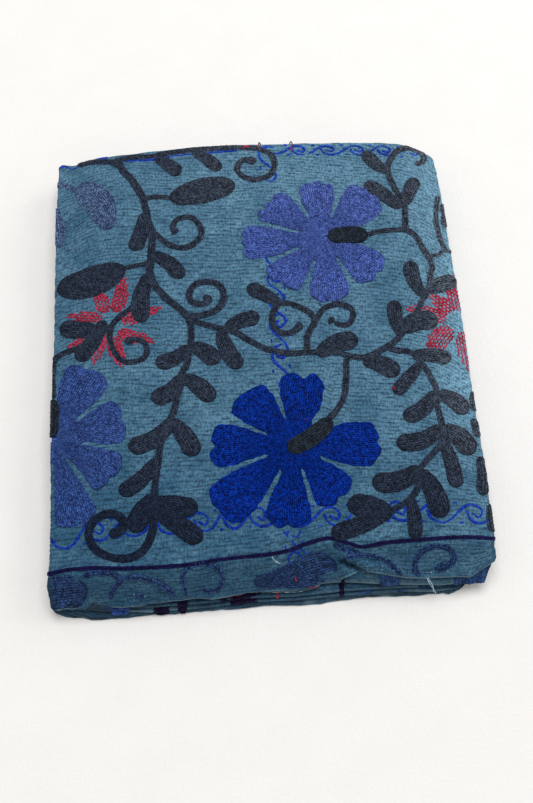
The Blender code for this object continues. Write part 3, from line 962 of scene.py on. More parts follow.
# width at the foot and at the tip, then the curl's points; curls widen to a blob at their end
CURLS = (
    (9.5, 13, (-120, -186), (-121, -206), (-127, -222), (-135, -231), (-147, -235), (-163, -234),
     (-178, -226), (-186, -213), (-185, -200), (-178, -191), (-167, -187), (-156, -190), (-151, -198),
     (-156, -207), (-166, -209)),
    (8.0, 12, (24, 54), (17, 43), (15, 35), (16, 25), (23, 16), (34, 15), (42, 20), (47, 27)),
)

navy_stems = [band(points, width, seed=30 + k) for k, (width, *points) in enumerate(STEMS)]
navy_stems += [
    band(points, ((0, foot), (0.55, foot), (0.85, foot * 0.7 + tip * 0.3), (1, tip)), seed=60 + k)
    for k, (foot, tip, *points) in enumerate(CURLS)
]
stems = sew("navy_stems", navy_stems)

# %% Leaves
# foot x, y, tip x, y, width, bend
LEAVES = (
    (-112, 259, -84, 234, 19, 0.05), (-68, 267, -36, 238, 18, 0.05), (-127, 181, -140, 130, 20, 0.06),
    (-119, 126, -84, 91, 20, 0.08), (-122, 99, -131, 36, 22, -0.08), (-180, 30, -222, 33, 24, 0.05),
    (-172, 40, -201, -9, 21, 0.03), (-38, 24, 1, 38, 20, 0.06), (-44, 22, -24, -26, 21, -0.05),
    (62, -14, 109, 4, 24, 0.10), (112, -22, 150, -42, 24, 0.08), (157, 6, 154, 51, 18, 0.05),
    (157, 13, 201, 23, 26, 0.12), (168, -18, 210, -25, 20, 0.03), (178, -27, 143, -65, 17, 0.0),
    (187, 55, 177, 102, 19, 0.06), (192, 61, 228, 74, 22, 0.05), (26, 51, -11, 77, 19, -0.03),
    (174, 174, 135, 212, 20, -0.04), (180, 178, 197, 216, 19, 0.04), (164, 226, 137, 257, 18, 0.03),
    (-78, 4, -116, -16, 20, 0.12), (-77, 5, -47, -19, 22, 0.08), (-86, -32, -121, -60, 22, 0.12),
    (-88, -33, -54, -64, 22, 0.08), (-98, -84, -146, -115, 22, 0.12), (-101, -84, -75, -127, 22, 0.06),
    (-116, -129, -155, -166, 20, 0.08), (-124, -176, -74, -187, 23, 0.02),
    (-122, -184, -71, -221, 22, 0.02), (-116, -168, -142, -208, 24, -0.06),
    (188, -64, 150, -95, 20, 0.10), (190, -66, 219, -92, 22, 0.10), (190, -106, 139, -123, 22, 0.12),
    (190, -106, 218, -140, 25, 0.12), (188, -116, 198, -176, 18, 0.03), (162, -152, 109, -166, 24, 0.12),
    (160, -154, 178, -208, 24, 0.08), (148, -184, 148, -230, 17, 0.03), (126, -198, 81, -188, 26, -0.02),
    (126, -199, 62, -221, 21, 0.02), (224, 178, 224, 145, 13, 0.06), (228, -66, 227, -90, 9, 0.0),
    (224, -98, 228, -120, 11, 0.0), (226, -142, 223, -186, 14, 0.05), (229, -196, 229, -226, 12, 0.0),
)
SPINDLE_LEAVES = ((-97, 199, -19, 217, 36, 0.02), (-149, 108, -226, 80, 40, 0.04))
# width, then from x, y, to x, y: the blobs in which stems end
TENDRIL_ENDS = (
    (12, 8, 249, -4, 252), (11, -89, 152, -94, 156), (12, -139, 13, -150, 13), (13, -60, 60, -53, 66),
    (12, 84, 27, 78, 30),
)

navy_leaves = [leaf(*row, seed=100 + k) for k, row in enumerate(LEAVES)]
navy_leaves += [leaf(*row, shape=SPINDLE, seed=160 + k) for k, row in enumerate(SPINDLE_LEAVES)]
navy_leaves += [band(((x0, y0), (x1, y1)), w, seed=170 + w) for w, x0, y0, x1, y1 in TENDRIL_ENDS]
leaves = sew("navy_leaves", navy_leaves)

# %% [markdown]
# ## Flowers
# Three filled flowers: a royal-blue one in front, a periwinkle one behind it, and a third that wraps round
# the left side. Their petals are fans of stitch rows, which overlap in the middle and part further out. One
# petal could be copied in a ring with an Array, but no two here are alike, so each has its own tip, width
# and number of lobes. A dark green-black anther lies over each middle. The two red flowers are open
# lattices of waving rows with the ground showing through.

# %% Filled flowers
# middle x, y, then each petal's tip x, y, width, lobes
ROYAL_FLOWER = (30, -120, (
    (46, -35, 50, 2), (-22, -56, 51, 1), (-60, -117, 54, 2), (-53, -190, 55, 1), (17, -211, 51, 2),
    (74, -184, 52, 2), (122, -122, 53, 2),
))
PERIWINKLE_FLOWER = (80, 138, (
    (-17, 135, 47, 3), (14, 188, 55, 3), (77, 215, 43, 1), (142, 198, 54, 2), (140, 86, 49, 2),
    (82, 53, 48, 1), (23, 79, 52, 2),
))
LEFT_FLOWER = (-226, -100, (
    (-186, -19, 54, 1), (-150, -80, 54, 2), (-163, -150, 62, 2), (-198, -200, 50, 2), (-250, -190, 46, 2),
    (-256, -30, 46, 2),
))
# the widest that half a petal's fan may open, in radians
WIDEST_FAN = 0.50


def flower(x, y, petals, seed):
    """All petals of one flower, each with its own seed and half the angle to its neighbours."""
    way = np.array([math.atan2(tip_y - y, tip_x - x) for tip_x, tip_y, _, _ in petals])
    apart = (way[None] - way[:, None]) % (2 * math.pi)
    apart[apart < 1e-6] = 2 * math.pi
    left = np.tan(np.minimum(apart.min(1) / 2, WIDEST_FAN))
    right = np.tan(np.minimum((2 * math.pi - np.where(apart < 6.28, apart, 0)).min(1) / 2, WIDEST_FAN))
    made = [
        petal(x, y, tip_x, tip_y, width, lobes, (right[k], left[k]), seed + k)
        for k, (tip_x, tip_y, width, lobes) in enumerate(petals)
    ]
    return made + [band(((x - 8, y), (x + 8, y)), 26, seed + 9, height=1.6)]


royal = sew("royal_flower", flower(*ROYAL_FLOWER, 200))
periwinkle = sew("periwinkle_flower", flower(*PERIWINKLE_FLOWER, 220))
left_flower = sew("left_flower", flower(*LEFT_FLOWER, 240))

# %% Bud and anthers
BUD = ((0, 0.50), (0.16, 0.86), (0.42, 1.0), (0.74, 0.80), (1, 0.34))
bud = sew("blue_bud", [
    leaf(-203, 224, -168, 160, 38, 0.10, BUD, 250),
    band(((-233, 223), (-224, 224.5), (-214, 220), (-206, 214)), ((0, 9), (0.4, 10), (1, 5)), 251),
    leaf(-230, 192, -224, 138, 17, 0.0, SPINDLE, 252),
])
ANTHERS = ((72, -93, 23, -126, 22, 0.05), (85, 138, 132, 139, 23, 0.03), (-227, -55, -227, -99, 16, 0.0))
anthers = sew("anthers", [
    leaf(*row, ((0, 0.82), (0.5, 1.0), (1, 0.88)), 260 + k, 3.0) for k, row in enumerate(ANTHERS)
])

# %% Lattice flowers
# foot x, y, tip x, y and width
LATTICE_PETALS = (
    (-172, 47, -180, 84, 17), (-161, 46, -149, 97, 18), (-171, 43, -217, 48, 14), (-157, 36, -107, 55, 16),
    (-161, 26, -115, 10, 18), (-164, 22, -152, -21, 18), (-170, 26, -185, -15, 15), (-178, 30, -215, 5, 13),
    (214, 22, 164, 42, 20), (219, 31, 194, 58, 19), (226, 30, 222, 84, 20), (216, 17, 181, -22, 24),
    (226, 12, 227, -44, 18), (234, 27, 262, 52, 15), (234, 18, 262, -8, 15),
)
red_rows = []
for k, row in enumerate(LATTICE_PETALS):
    red_rows += lattice_petal(*row, 300 + 9 * k)
red = sew("red_lattice", red_rows)

# %% [markdown]
# ## Lines and border
# A purple line of chain stitch runs just above the hanging end. Thin royal-blue scrolls with little dashes
# beside them cross the quilt in both directions. A running scroll is one unit again and again. An Array on
# a Curve modifier could carry it, but the stitches have to stay as wide as the thread, so a function bends
# the unit's points along the line and sews a thin band through them. Below the purple line, the border's
# own motifs lie flat, overdyed to nearly the colour of the ground.

# %% The purple line
purple = sew("purple_line", [band(PURPLE_LINE, 5.2, 400, height=1.2, row=2.6)])

# %% Thin scrolls
# one unit of a scroll and the short stitches beside it, as millimetres along it and to its left
UNIT = (
    (-14, 3), (-9.5, -7), (0, -11), (8, -8), (15.6, -0.5), (22, 6), (29, 9.5), (35.6, 7.5), (40, 3),
    (39, -2), (36, -4.5), (32, -1.5), (29, -0.5),
)
SHORT_STITCHES = (((11, 10.5), (16, 10.8)), ((17, -10.8), (22, -10.5)))
# how far one unit lies from the next as drawn here, and half its height
UNIT_PITCH, UNIT_HALF = 37, 11
# widths of the line and of the short stitches, their height, and the grid's step along them
SCROLL_LINE, SHORT_STITCH, THIN_HEIGHT, THIN_CELL = 3.9, 3.2, 0.75, 1.1


def scroll(places, half, seed, left_out=()):
    """A running scroll: from each place to the next, one unit of back stitch that hooks over the next one.

    A short stitch lies on both sides of each unit.
    """
    p = np.array(places, float)
    curve = curve_through(np.vstack([2 * p[0] - p[1], p, 2 * p[-1] - p[-2]]))
    knots = curve[1][::20]
    made = []
    for k in range(len(p) - 1):
        if k in left_out:
            continue
        start, pitch = knots[k + 1], knots[k + 2] - knots[k + 1]
        for line, width in ((UNIT, SCROLL_LINE), *((short, SHORT_STITCH) for short in SHORT_STITCHES)):
            along, aside = np.array(line, float).T
            place, left = along_curve(curve, start + along / UNIT_PITCH * pitch)
            points = place + left * (aside / UNIT_HALF * half)[:, None]
            made.append(band(points, width, seed + k, THIN_HEIGHT, width, THIN_CELL))
    return made


print("a unit of the scroll goes through", len(UNIT), "points")

# %% Where the scrolls run
# millimetres on the plan
FRONT_SCROLL = (
    (-211, -211), (-175, -204), (-140, -201.5), (-103, -200.5), (-67, -199.5), (-37, -198), (-7, -197),
    (31, -199), (69, -200), (104, -199), (138, -198), (178, -202), (217, -205), (252, -209),
)
SIDE_SCROLL = [(21, 258)] + [(22, y) for y in (222, 186, 150, 114, 84, 55, 26, -12, -49)]
BACK_SCROLL = ((31, 266), (64, 263), (99, 262), (134, 260), (167, 258), (200, 252))
# where the two scrolls meet in front, their thread wanders
MEETING = (
    ((13, -214), (19, -223), (26, -232)), ((18, -214), (16, -221)), ((21, -220), (27, -221), (31, -214)),
    ((29, -233), (36, -241)), ((18, -250), (17, -243), (22, -237), (27, -239), (30, -245)),
    ((32, -226), (33, -229)), ((14, -229), (15, -233)),
)
BACK_LINES = (
    (3.6, (-227, 246.5), (-221, 249.5), (-211, 247.5), (-200, 253), (-186, 259), (-170, 263.5)),
    (3.4, (-150, 256), (-118, 257), (-80, 262), (-30, 265), (18, 269), (30, 268)),
)
scrolls = scroll(FRONT_SCROLL, 11, 420) + scroll(SIDE_SCROLL, 9.5, 440, (1, 2, 3))
scrolls += [band(points, 2.9, 480 + k, THIN_HEIGHT, 2.9, THIN_CELL) for k, points in enumerate(MEETING)]
scrolls += scroll(BACK_SCROLL, 7, 460)
scrolls += [
    band(points, width, 470 + k, THIN_HEIGHT, width) for k, (width, *points) in enumerate(BACK_LINES)
]
thin_scrolls = sew("thin_scrolls", scrolls)

# %% Motifs of the border
# width, then points of the curve
BORDER_BANDS = (
    (7.5, (-192, -252), (-182, -249.5), (-168, -249.5), (-157, -254), (-155, -260), (-161, -267),
     (-164, -277)),
    (6.5, (-152, -256), (-146, -256.5), (-136, -256), (-124, -259.5), (-113, -265), (-103, -273),
     (-100, -277)),
    (6.5, (-88, -278), (-90, -268), (-91, -256), (-83, -247), (-68, -245), (-56, -251), (-51.5, -262),
     (-55, -271), (-64, -274), (-74, -271)),
    (6.5, (72, -246), (80, -244), (89.5, -243.8), (105.5, -246.5), (118, -252.5), (125, -261), (130, -267)),
    (8.0, (63, -231), (73, -235.5), (82, -240), (90, -242)),
    (7.0, (148, -269), (144, -262), (147, -250), (156, -241.5), (168, -238), (180, -241), (185.5, -249),
     (182, -257), (174, -261), (164, -262)),
)
# a blob at the left, and a broad motif that widens from its stem to the tuck: pairs of share and width
LEFT_BLOB, BLOB_WIDTHS = ((-238, -268), (-212, -269), (-187, -267)), ((0, 34), (0.5, 39), (1, 36))
BROAD = ((-20, -267), (0, -265), (20, -262), (42, -257), (65, -253))
BROAD_WIDTHS = [(s, 38 * w) for s, w in ((0, 0.30), (0.25, 0.50), (0.5, 0.76), (0.75, 1.0), (1, 0.96))]
border_motifs = [band(points, width, 500 + k, 0.85) for k, (width, *points) in enumerate(BORDER_BANDS)]
border_motifs += [band(LEFT_BLOB, BLOB_WIDTHS, 510, 0.9), band(BROAD, BROAD_WIDTHS, 511, 0.9)]
border_motifs += [
    leaf(-139, -276, -131, -275, 9, 0.0, LEAF, 513),
    leaf(166, -262, 178, -258, 9, 0.0, LEAF, 514),
]
print(len(border_motifs), "motifs in the border")

# %% [markdown]
# ## Embroidery on the hems and folds
# The embroidery runs on over the folds and the hems of the lower layers, where only a slice of it shows.
# It could be left out there, but then the sides and the back would be bare. These motifs can't be drawn on
# the plan, which the camera doesn't see there. They are placed by their distances across and along the
# sheet, which the fold function takes as they are. A patch on a hem goes over its rounded edge, a little
# outside the cloth.

# %% Patches on the hems in front
# millimetres: the step across a patch, its straight side's height over the cloth, and its ragged ends
PATCH_STEP, PATCH_HEIGHT, RAGGED = 1.3, 1.15, 1.3
# millimetres: its rounded sides, the height and size of its knots, where the cloth's edge begins to turn,
# how much longer than thick that edge is, and how much closer to the cloth's middle its plain side is
PATCH_ROUND, KNOT_HEIGHT, KNOT, TURN_AT, EDGE_LONGER, PLAIN_SIDE = 1.6, 0.30, 1.9, 1.8, 0.25, 0.35


def across_of(x, ply):
    """Millimetres across the sheet of an x in millimetres, on ply 0, 1 or 2."""
    on_inner, on_middle = x - 1000 * LEFT_HEM, x + 1000 * (ACROSS[4] - LEFT_TURN)
    return (on_inner, on_middle, 1000 * (ACROSS[2] + RIGHT_TURN) - x)[ply]


def hem_patch(x0, x1, ply, hanging, seed, depth=14.0, turned=(0, 84), out_by=2.3):
    """Stitching round a hem: straight for the depth, then round its edge, sunk into the cloth at its sides.

    Its side is the one that shows from above and in front.
    """
    x = np.linspace(x0, x1, max(4, int((x1 - x0) / PATCH_STEP)))[None]
    angles = np.radians(np.linspace(*turned, 7))
    turn = np.append(np.full(8, angles[0]), angles)[:, None]
    straight = np.append(np.linspace(depth, 0, 9)[:-1], np.zeros(7))[:, None]
    ragged = RAGGED * soft_noise(straight / 3 + 2 * turn, 0 * turn + seed * 1.7, seed)
    body = quarter_round(np.minimum(x - x0, x1 - x), PATCH_ROUND)
    knots = KNOT_HEIGHT * soft_noise(x / KNOT, straight / KNOT + 2 * turn, seed)
    out = PATCH_HEIGHT + (out_by - PATCH_HEIGHT) * body + knots * body
    side = 1 if (ply == 2) == hanging else -1
    along = TURN_AT + straight - (out + EDGE_LONGER) * np.sin(turn)
    over = side * (out - (PLAIN_SIDE if side < 0 else 0)) * np.cos(turn)
    if hanging:
        along = 1000 * ALONG[9] - along
    across = across_of(x + ragged * (1 if x1 - x0 > 6 else 0.2), ply)
    relief = np.clip(0.65 + knots, 0, 1)
    return across, along, over - 1000 * EMBROIDERY_BASE, straight + 2 * turn + 0 * x, x + 0 * turn, relief


print("a patch 20 mm wide has", hem_patch(0, 20, 1, True, 1)[2].size, "points")

# %% Where the patches lie
# x from and to in millimetres, then the ply, on the hems of the lowest run and of the hanging end
LOW_HEMS = {
    "purple": ((-127, -109, 1), (-124, -111, 2), (-101, -90, 0), (-101, -91, 1), (-99, -92, 2),
               (-56, -12, 0), (-46, -16, 1), (67, 74, 0), (67, 73.5, 1)),
    "blue": ((-172, -150, 0), (-170, -153, 1)),
    "muted": ((150, 172, 0), (92, 104, 1), (128, 140, 1)),
    "red": ((3, 6, 0),),
}
HANGING_HEMS = {
    "purple": ((-113, -80, 1), (67, 74, 1), (67, 73.5, 0), (-56, -14, 1)),
    "blue": (),
    "muted": ((187, 225, 1), (189, 224, 0), (110, 130, 1)),
    "red": ((10, 13, 1),),
}


def hem_patches(colour):
    """All patches of one colour."""
    rows = [(*row, False) for row in LOW_HEMS[colour]] + [(*row, True) for row in HANGING_HEMS[colour]]
    return [hem_patch(*row, 600 + 3 * k) for k, row in enumerate(rows)]


print("patches in purple and in muted blue:", len(hem_patches("purple")), len(hem_patches("muted")))

# %% Motifs over the folds
def over_fold(x0, along0, x1, along1, width, seed):
    """A leaf on the outer ply, from one x and distance along the sheet to another, in millimetres."""
    return leaf(across_of(x0, 2), along0, across_of(x1, 2), along1, width, 0.05, LEAF, seed)


# the middles of the folds, in millimetres along the sheet and across it
low_turn, high_turn = (1000 * (ALONG[k] + ALONG[k + 1]) / 2 for k in (1, 5))
right_fold, left_fold = (1000 * (ACROSS[k] + ACROSS[k + 1]) / 2 for k in (1, 3))
# x and distance from the low turn, of a leaf's foot and of its tip, and its width
BACK_NAVY = (
    (-205, -40, -190, 30, 9), (-176, -8, -140, 16, 18), (-120, 30, -132, -30, 8), (-96, -14, -60, 12, 19),
    (-20, 34, -8, -34, 9), (14, 4, 52, -14, 20), (96, -30, 110, 34, 8), (128, 10, 160, -12, 19),
    (196, 30, 186, -34, 9),
)
# distance along the sheet, how far a leaf goes across and along, and its width
SIDE_NAVY = (
    (60, 12, 22, 18), (104, -30, 28, 8), (168, 8, -26, 19), (240, -28, 30, 9), (300, 14, -20, 18),
    (372, -26, 24, 8), (430, 10, 30, 18), (610, -28, 26, 9), (680, 12, -24, 19), (760, -20, 30, 8),
    (840, 14, 24, 18), (920, -30, 22, 9), (1000, 10, -26, 18), (1120, -26, 28, 8), (1190, 12, 22, 19),
    (1280, -30, 24, 9), (1360, 10, -24, 18),
)
# how much further along the left fold's leaves lie
LEFT_SHIFT = 37
# x of a petal's foot, the turn it is on, its distance from that, how far the tip goes across, and the tip's
# distance from the turn
BACK_PETALS = (
    (-70, low_turn, 46, -24, -26), (-70, low_turn, 46, 22, -28), (170, low_turn, 50, -20, -24),
    (60, high_turn, -54, -20, -8), (60, high_turn, -54, 24, -8), (-180, high_turn, -54, 6, -8),
)
# the fold, distance along the sheet, the foot's distance from the fold, and how far the petal goes each way
SIDE_PETALS = (
    (right_fold, 200, 40, -62, 10), (right_fold, 860, -44, 66, -12), (right_fold, 1240, 42, -64, 8),
    (left_fold, 140, -40, 62, 12), (left_fold, 700, 42, -64, -10), (left_fold, 1150, -42, 64, 10),
)
# where a lattice petal begins across and along the sheet, and how far it goes each way
LATTICES = (
    (right_fold - 6, 340, 8, -52), (right_fold + 4, 346, -16, 48), (left_fold + 4, 560, 10, 46),
    (left_fold - 6, 566, -12, -44), (right_fold + 2, 1060, 12, 46), (left_fold, 900, -10, 50),
    (across_of(-30, 2), low_turn + 30, 20, -44), (across_of(-30, 2), low_turn + 30, -24, -42),
)
print("navy leaves over the folds:", len(BACK_NAVY) + 2 * len(SIDE_NAVY))

# %% The folds and hems, sewn
fold_navy = [
    over_fold(x0, low_turn + t0, x1, low_turn + t1, width, 700 + k)
    for k, (x0, t0, x1, t1, width) in enumerate(BACK_NAVY)
]
for fold, shift in ((right_fold, 0), (left_fold, LEFT_SHIFT)):
    fold_navy += [
        leaf(fold - step / 2, t + shift, fold + step / 2, t + shift + rise, width, 0.05, LEAF, 720 + k)
        for k, (t, step, rise, width) in enumerate(SIDE_NAVY)
    ]
fold_blue = [
    petal(across_of(x, 2), turn + shift, across_of(x + dx, 2), turn + dy, 40, 2, seed=760 + k)
    for k, (x, turn, shift, dx, dy) in enumerate(BACK_PETALS)
]
fold_blue += [
    petal(fold + away, t, fold + away + dx, t + dy, 38, 2, seed=780 + k)
    for k, (fold, t, away, dx, dy) in enumerate(SIDE_PETALS)
]
fold_red = []
for k, (a, t, da, dt) in enumerate(LATTICES):
    fold_red += lattice_petal(a, t, a + da, t + dt, 18, 800 + 7 * k)
# two red stitches over the hanging hem
fold_red += [
    hem_patch(-46, -33, 2, True, 81, 0.0, (40, 100), 2.3),
    hem_patch(39, 47, 2, True, 82, 0.0, (10, 80), 2.2),
]

overdyed = sew("border_motifs", border_motifs, hem_patches("muted"))
hem_purple = sew("hem_purple", at_cloth=hem_patches("purple"))
folded_navy = sew("folded_navy", at_cloth=fold_navy)
folded_blue = sew("folded_blue", at_cloth=hem_patches("blue") + fold_blue)
folded_red = sew("folded_red", at_cloth=hem_patches("red") + fold_red)

# %% [markdown]
# ## Running stitches and thread ends
# Where the white quilting thread surfaces, it shows as specks along the rows, mostly on the border. They
# could be scattered by Geometry Nodes, or be dots in the material. As short bands of thread they stand on
# the cloth and catch the light, and numpy can put them on the rows and let chance leave most of them out.
# A few thread ends are left loose.

# %% White specks
STITCH_PITCH, STITCHES_TO_A_ROW = 5.1, 86
chance = np.random.default_rng(11)
row_count = int(1000 * (ALONG[9] - ALONG[6]) / ROW_PITCH)
row_numbers, places = np.meshgrid(np.arange(1, row_count), np.arange(STITCHES_TO_A_ROW))
speck_along = (1000 * ALONG[9] - ROW_PITCH * row_numbers - 1.5).ravel()
strayed = places + chance.uniform(-0.2, 0.2, places.shape)
speck_across = (1000 * ACROSS[2] + 10 + STITCH_PITCH * strayed).ravel()
speck_along = speck_along - 0.8 * wander(speck_across / 1000, speck_along / 1000)
speck_x = cloth_x(speck_across / 1000)

# the chance that a stitch shows: in patches, more on the border, and most right of the tuck
in_border = speck_along > 1000 * ALONG[7] - 6
patch = soft_noise(speck_across / 26, speck_along / 11, 51)
likely = np.where(in_border, 0.09 + 0.12 * patch, 0.025 + 0.025 * patch)
likely = likely + 0.55 * in_border * eased((speck_x - 70) / 30) * eased((205 - speck_x) / 30)
shown = chance.uniform(0, 1, len(patch)) < likely
on_border, elsewhere = chance.uniform(0.4, 0.75, len(patch)), chance.uniform(0.35, 0.6, len(patch))
speck_size = np.where(in_border, on_border, elsewhere)
specks = [
    band(((a - half, t), (a + half + 0.5, t + 0.1)), half + 0.25, 1, 0.42, half + 0.25, 0.9)
    for a, t, half in zip(speck_across[shown], speck_along[shown], speck_size[shown])
]
print(len(specks), "stitches show")

# %% Loose ends
def thread(points, lifts, width, seed):
    """A loose thread end on the plan: a thin band whose height over the cloth goes through lifts."""
    x, y, rise, u, v, relief = band(points, width, seed, 0.5, width, 0.9)
    share = (u - u.min()) / (u.max() - u.min())
    return x, y, rise + np.interp(share, np.linspace(0, 1, len(lifts)), lifts), u, v, relief


def past_hem(points, lifts, width, seed):
    """A thread end by the hem of the hanging end: points are x and millimetres past the hem."""
    return thread([(across_of(x, 2), 1000 * ALONG[9] + past) for x, past in points], lifts, width, seed)


# points, heights over the cloth, width and seed
WHITE_END = (((0, -241), (2, -245), (8, -249)), (0.4, 1.2, 0.3), 1.5, 60)
WHITE_HEM_ENDS = (
    (((157, -1), (160, 6), (166, 15)), (0.5, 1.8, 2.4), 1.2, 62),
    (((158, -1), (162, 6), (164, 14)), (0.5, 2.2, 1.8), 1.2, 63),
)
RED_ENDS = (
    (((46, -90), (45, -93)), (1.8, 2.4), 1.8, 64),
    (((22, -262), (23, -267)), (1.5, 2.2), 1.2, 65),
    (((141, -57), (144, -60)), (1.6, 2.0), 3.2, 66),
    (((31, -276), (36, -274.5), (39, -277)), (0.8, 1.6, 0.8), 1.6, 67),
    (((12, 262), (11, 270), (14, 279), (13, 286)), (0.3, 1.5, 4.5, 8.5), 1.4, 68),
    (((49, 263), (52, 271), (49, 279), (50, 285)), (0.3, 1.8, 5.0, 8.0), 1.4, 69),
    (((-8, 268), (-4, 270), (0, 271)), (1.2, 2.0, 1.5), 3.0, 70),
)
# the worn, white edge of the hanging hem, left of the tuck
worn_hem = [hem_patch(x0, x1, 2, True, 71, 0.0, (30, 56), 2.35) for x0, x1 in ((-18, 12), (10, 50))]
hem_ends = [past_hem(*row) for row in WHITE_HEM_ENDS]
running_stitches = sew("running_stitches", [thread(*WHITE_END)], specks + hem_ends + worn_hem)
red_ends = sew("red_thread_ends", [thread(*row) for row in RED_ENDS])

# %% [markdown]
# ## Cloth and floss
# Overdyed cotton is matte and mottled where the dye took unevenly. It is painted lighter on the ridges and
# darker in the grooves, partly the dye and partly painted highlight and shade. The floss is a little
# glossier, and each loop has its own shade, with a painted highlight on its top and painted shade in the
# grooves between rows. Photographs of cloth could be wrapped round the mesh, but they repeat and have a
# light of their own. Noise and cells worked out in the shader fit any place and size. What a gauze has too
# fine for the mesh goes into the bump. Each effect is a node group, so that every colour uses the same one.

# %% Node helpers
def add(tree, kind, inputs=None, **settings):
    """A shader node with its settings. Its inputs are values, or other nodes' outputs, which are linked."""
    made = tree.nodes.new("ShaderNode" + kind)
    for name, value in settings.items():
        setattr(made, name, value)
    for name, value in (inputs or {}).items():
        if isinstance(value, bpy.types.NodeSocket):
            tree.links.new(value, made.inputs[name])
        else:
            made.inputs[name].default_value = value
    return made


def math_node(tree, operation, first, second=0.0):
    """The output of one Math node."""
    return add(tree, "Math", {0: first, 1: second}, operation=operation).outputs[0]


def times(tree, first, second):
    """The product of two values or outputs."""
    return math_node(tree, "MULTIPLY", first, second)


def plus(tree, first, second):
    """The sum of two values or outputs."""
    return math_node(tree, "ADD", first, second)


def noise(tree, cloth, scale, detail, roughness=0.5):
    """The output of a Noise Texture on coordinates, which a scale of three numbers stretches first."""
    if isinstance(scale, tuple):
        cloth = add(tree, "Mapping", {"Vector": cloth, "Scale": scale}).outputs[0]
        scale = 1.0
    inputs = {"Vector": cloth, "Scale": scale, "Detail": detail, "Roughness": roughness}
    return add(tree, "TexNoise", inputs).outputs["Fac"]


def ranged(tree, value, low, high, to_low=0.0, to_high=1.0):
    """The output of a Map Range node, from low and high to two other values."""
    inputs = {"Value": value, "From Min": low, "From Max": high, "To Min": to_low, "To Max": to_high}
    return add(tree, "MapRange", inputs).outputs[0]


print("made for the node trees:", *(helper.__name__ for helper in (math_node, times, plus, noise, ranged)))

# %% Groups and colours
def new_group(name, inputs, outputs):
    """An empty node group with named sockets, and its input and output nodes."""
    group = bpy.data.node_groups.new(name, "ShaderNodeTree")
    for label, kind, value in inputs:
        socket = group.interface.new_socket(label, in_out="INPUT", socket_type="NodeSocket" + kind)
        if value is not None:
            socket.default_value = value
    for label, kind in outputs:
        group.interface.new_socket(label, in_out="OUTPUT", socket_type="NodeSocket" + kind)
    return group, group.nodes.new("NodeGroupInput"), group.nodes.new("NodeGroupOutput")


def linear(red, green, blue):
    """A colour as 8-bit numbers on screen, made linear for the shader."""
    c = np.array([red, green, blue]) / 255
    c = np.where(c <= 0.04045, c / 12.92, ((c + 0.055) / 1.055) ** 2.4)
    return (*c.tolist(), 1.0)


print("a mid blue in linear light:", np.round(linear(50, 95, 124), 3))

# %% Crinkle of the gauze
crinkle, given, put = new_group(
    "gauze_crinkle",
    (("Cloth", "Vector", None), ("Scale", "Float", 1.0)),
    (("Height", "Float"), ("Mottle", "Float")),
)
scaled = add(crinkle, "VectorMath", {0: given.outputs["Cloth"]}, operation="SCALE")
crinkle.links.new(given.outputs["Scale"], scaled.inputs["Scale"])
gauze = scaled.outputs[0]
folds = times(crinkle, noise(crinkle, gauze, (1.6, 5.0, 1.0), 2.0, 0.6), 0.55)
ribs = times(crinkle, noise(crinkle, gauze, (5.2, 2.0, 1.0), 1.0), 0.65)
weave = times(crinkle, noise(crinkle, gauze, 8.5, 1.0), 0.50)
crinkle.links.new(plus(crinkle, plus(crinkle, folds, ribs), weave), put.inputs["Height"])
crinkle.links.new(noise(crinkle, gauze, 0.30, 4.0, 0.62), put.inputs["Mottle"])
print(crinkle.name, "has", len(crinkle.nodes), "nodes")

# %% Grooves of the stitched rows
# the same rows as in the mesh, straying a little more, sharper, and strong or faint in long patches
# its Groove paints shade into the cotton's colour and deepens the bump
grooves, given, put = new_group(
    "stitched_rows",
    (("Cloth", "Vector", None), ("Wander", "Float", 0.0)),
    (("Groove", "Float"),),
)
cloth = given.outputs["Cloth"]
wobble = times(grooves, noise(grooves, cloth, (1.4, 3.4, 1.0), 2.0), 3.6)
millimetres = times(grooves, add(grooves, "SeparateXYZ", {"Vector": cloth}).outputs["Y"], 10.0)
in_rows = plus(grooves, millimetres, plus(grooves, given.outputs["Wander"], wobble))
angle = times(grooves, in_rows, math.pi / ROW_PITCH)
swing = math_node(grooves, "ABSOLUTE", math_node(grooves, "SINE", angle))
sharp = math_node(grooves, "SUBTRACT", 1.0, swing)
strength = ranged(grooves, noise(grooves, cloth, (0.8, 2.6, 1.0), 2.0), 0.38, 0.60, 0.05)
grooves.links.new(times(grooves, sharp, strength), put.inputs["Groove"])
print(grooves.name, "has", len(grooves.nodes), "nodes")

# %% Loops of the floss
# its Height gives each loop a painted highlight on top as well as its bump
loops, given, put = new_group(
    "floss_loops",
    (("Cloth", "Vector", None), ("Row", "Float", 4.0), ("Loop", "Float", 3.0)),
    (("Height", "Float"), ("Shade", "Float")),
)
per_cell = add(loops, "CombineXYZ", {"X": given.outputs["Loop"], "Y": given.outputs["Row"], "Z": 1.0})
cell_inputs = {0: given.outputs["Cloth"], 1: per_cell.outputs[0]}
in_cells = add(loops, "VectorMath", cell_inputs, operation="MULTIPLY").outputs[0]
cells = add(loops, "TexVoronoi", {"Vector": in_cells, "Scale": 1.0, "Randomness": 0.85})
fibres = times(loops, ranged(loops, noise(loops, in_cells, 2.1, 1.0), 0.34, 0.66), 0.50)
round_loop = ranged(loops, cells.outputs["Distance"], 0.68, 0.12)
loops.links.new(plus(loops, round_loop, fibres), put.inputs["Height"])
loop_colour = add(loops, "SeparateColor", {"Color": cells.outputs["Color"]})
loops.links.new(loop_colour.outputs[0], put.inputs["Shade"])
print(loops.name, "has", len(loops.nodes), "nodes")

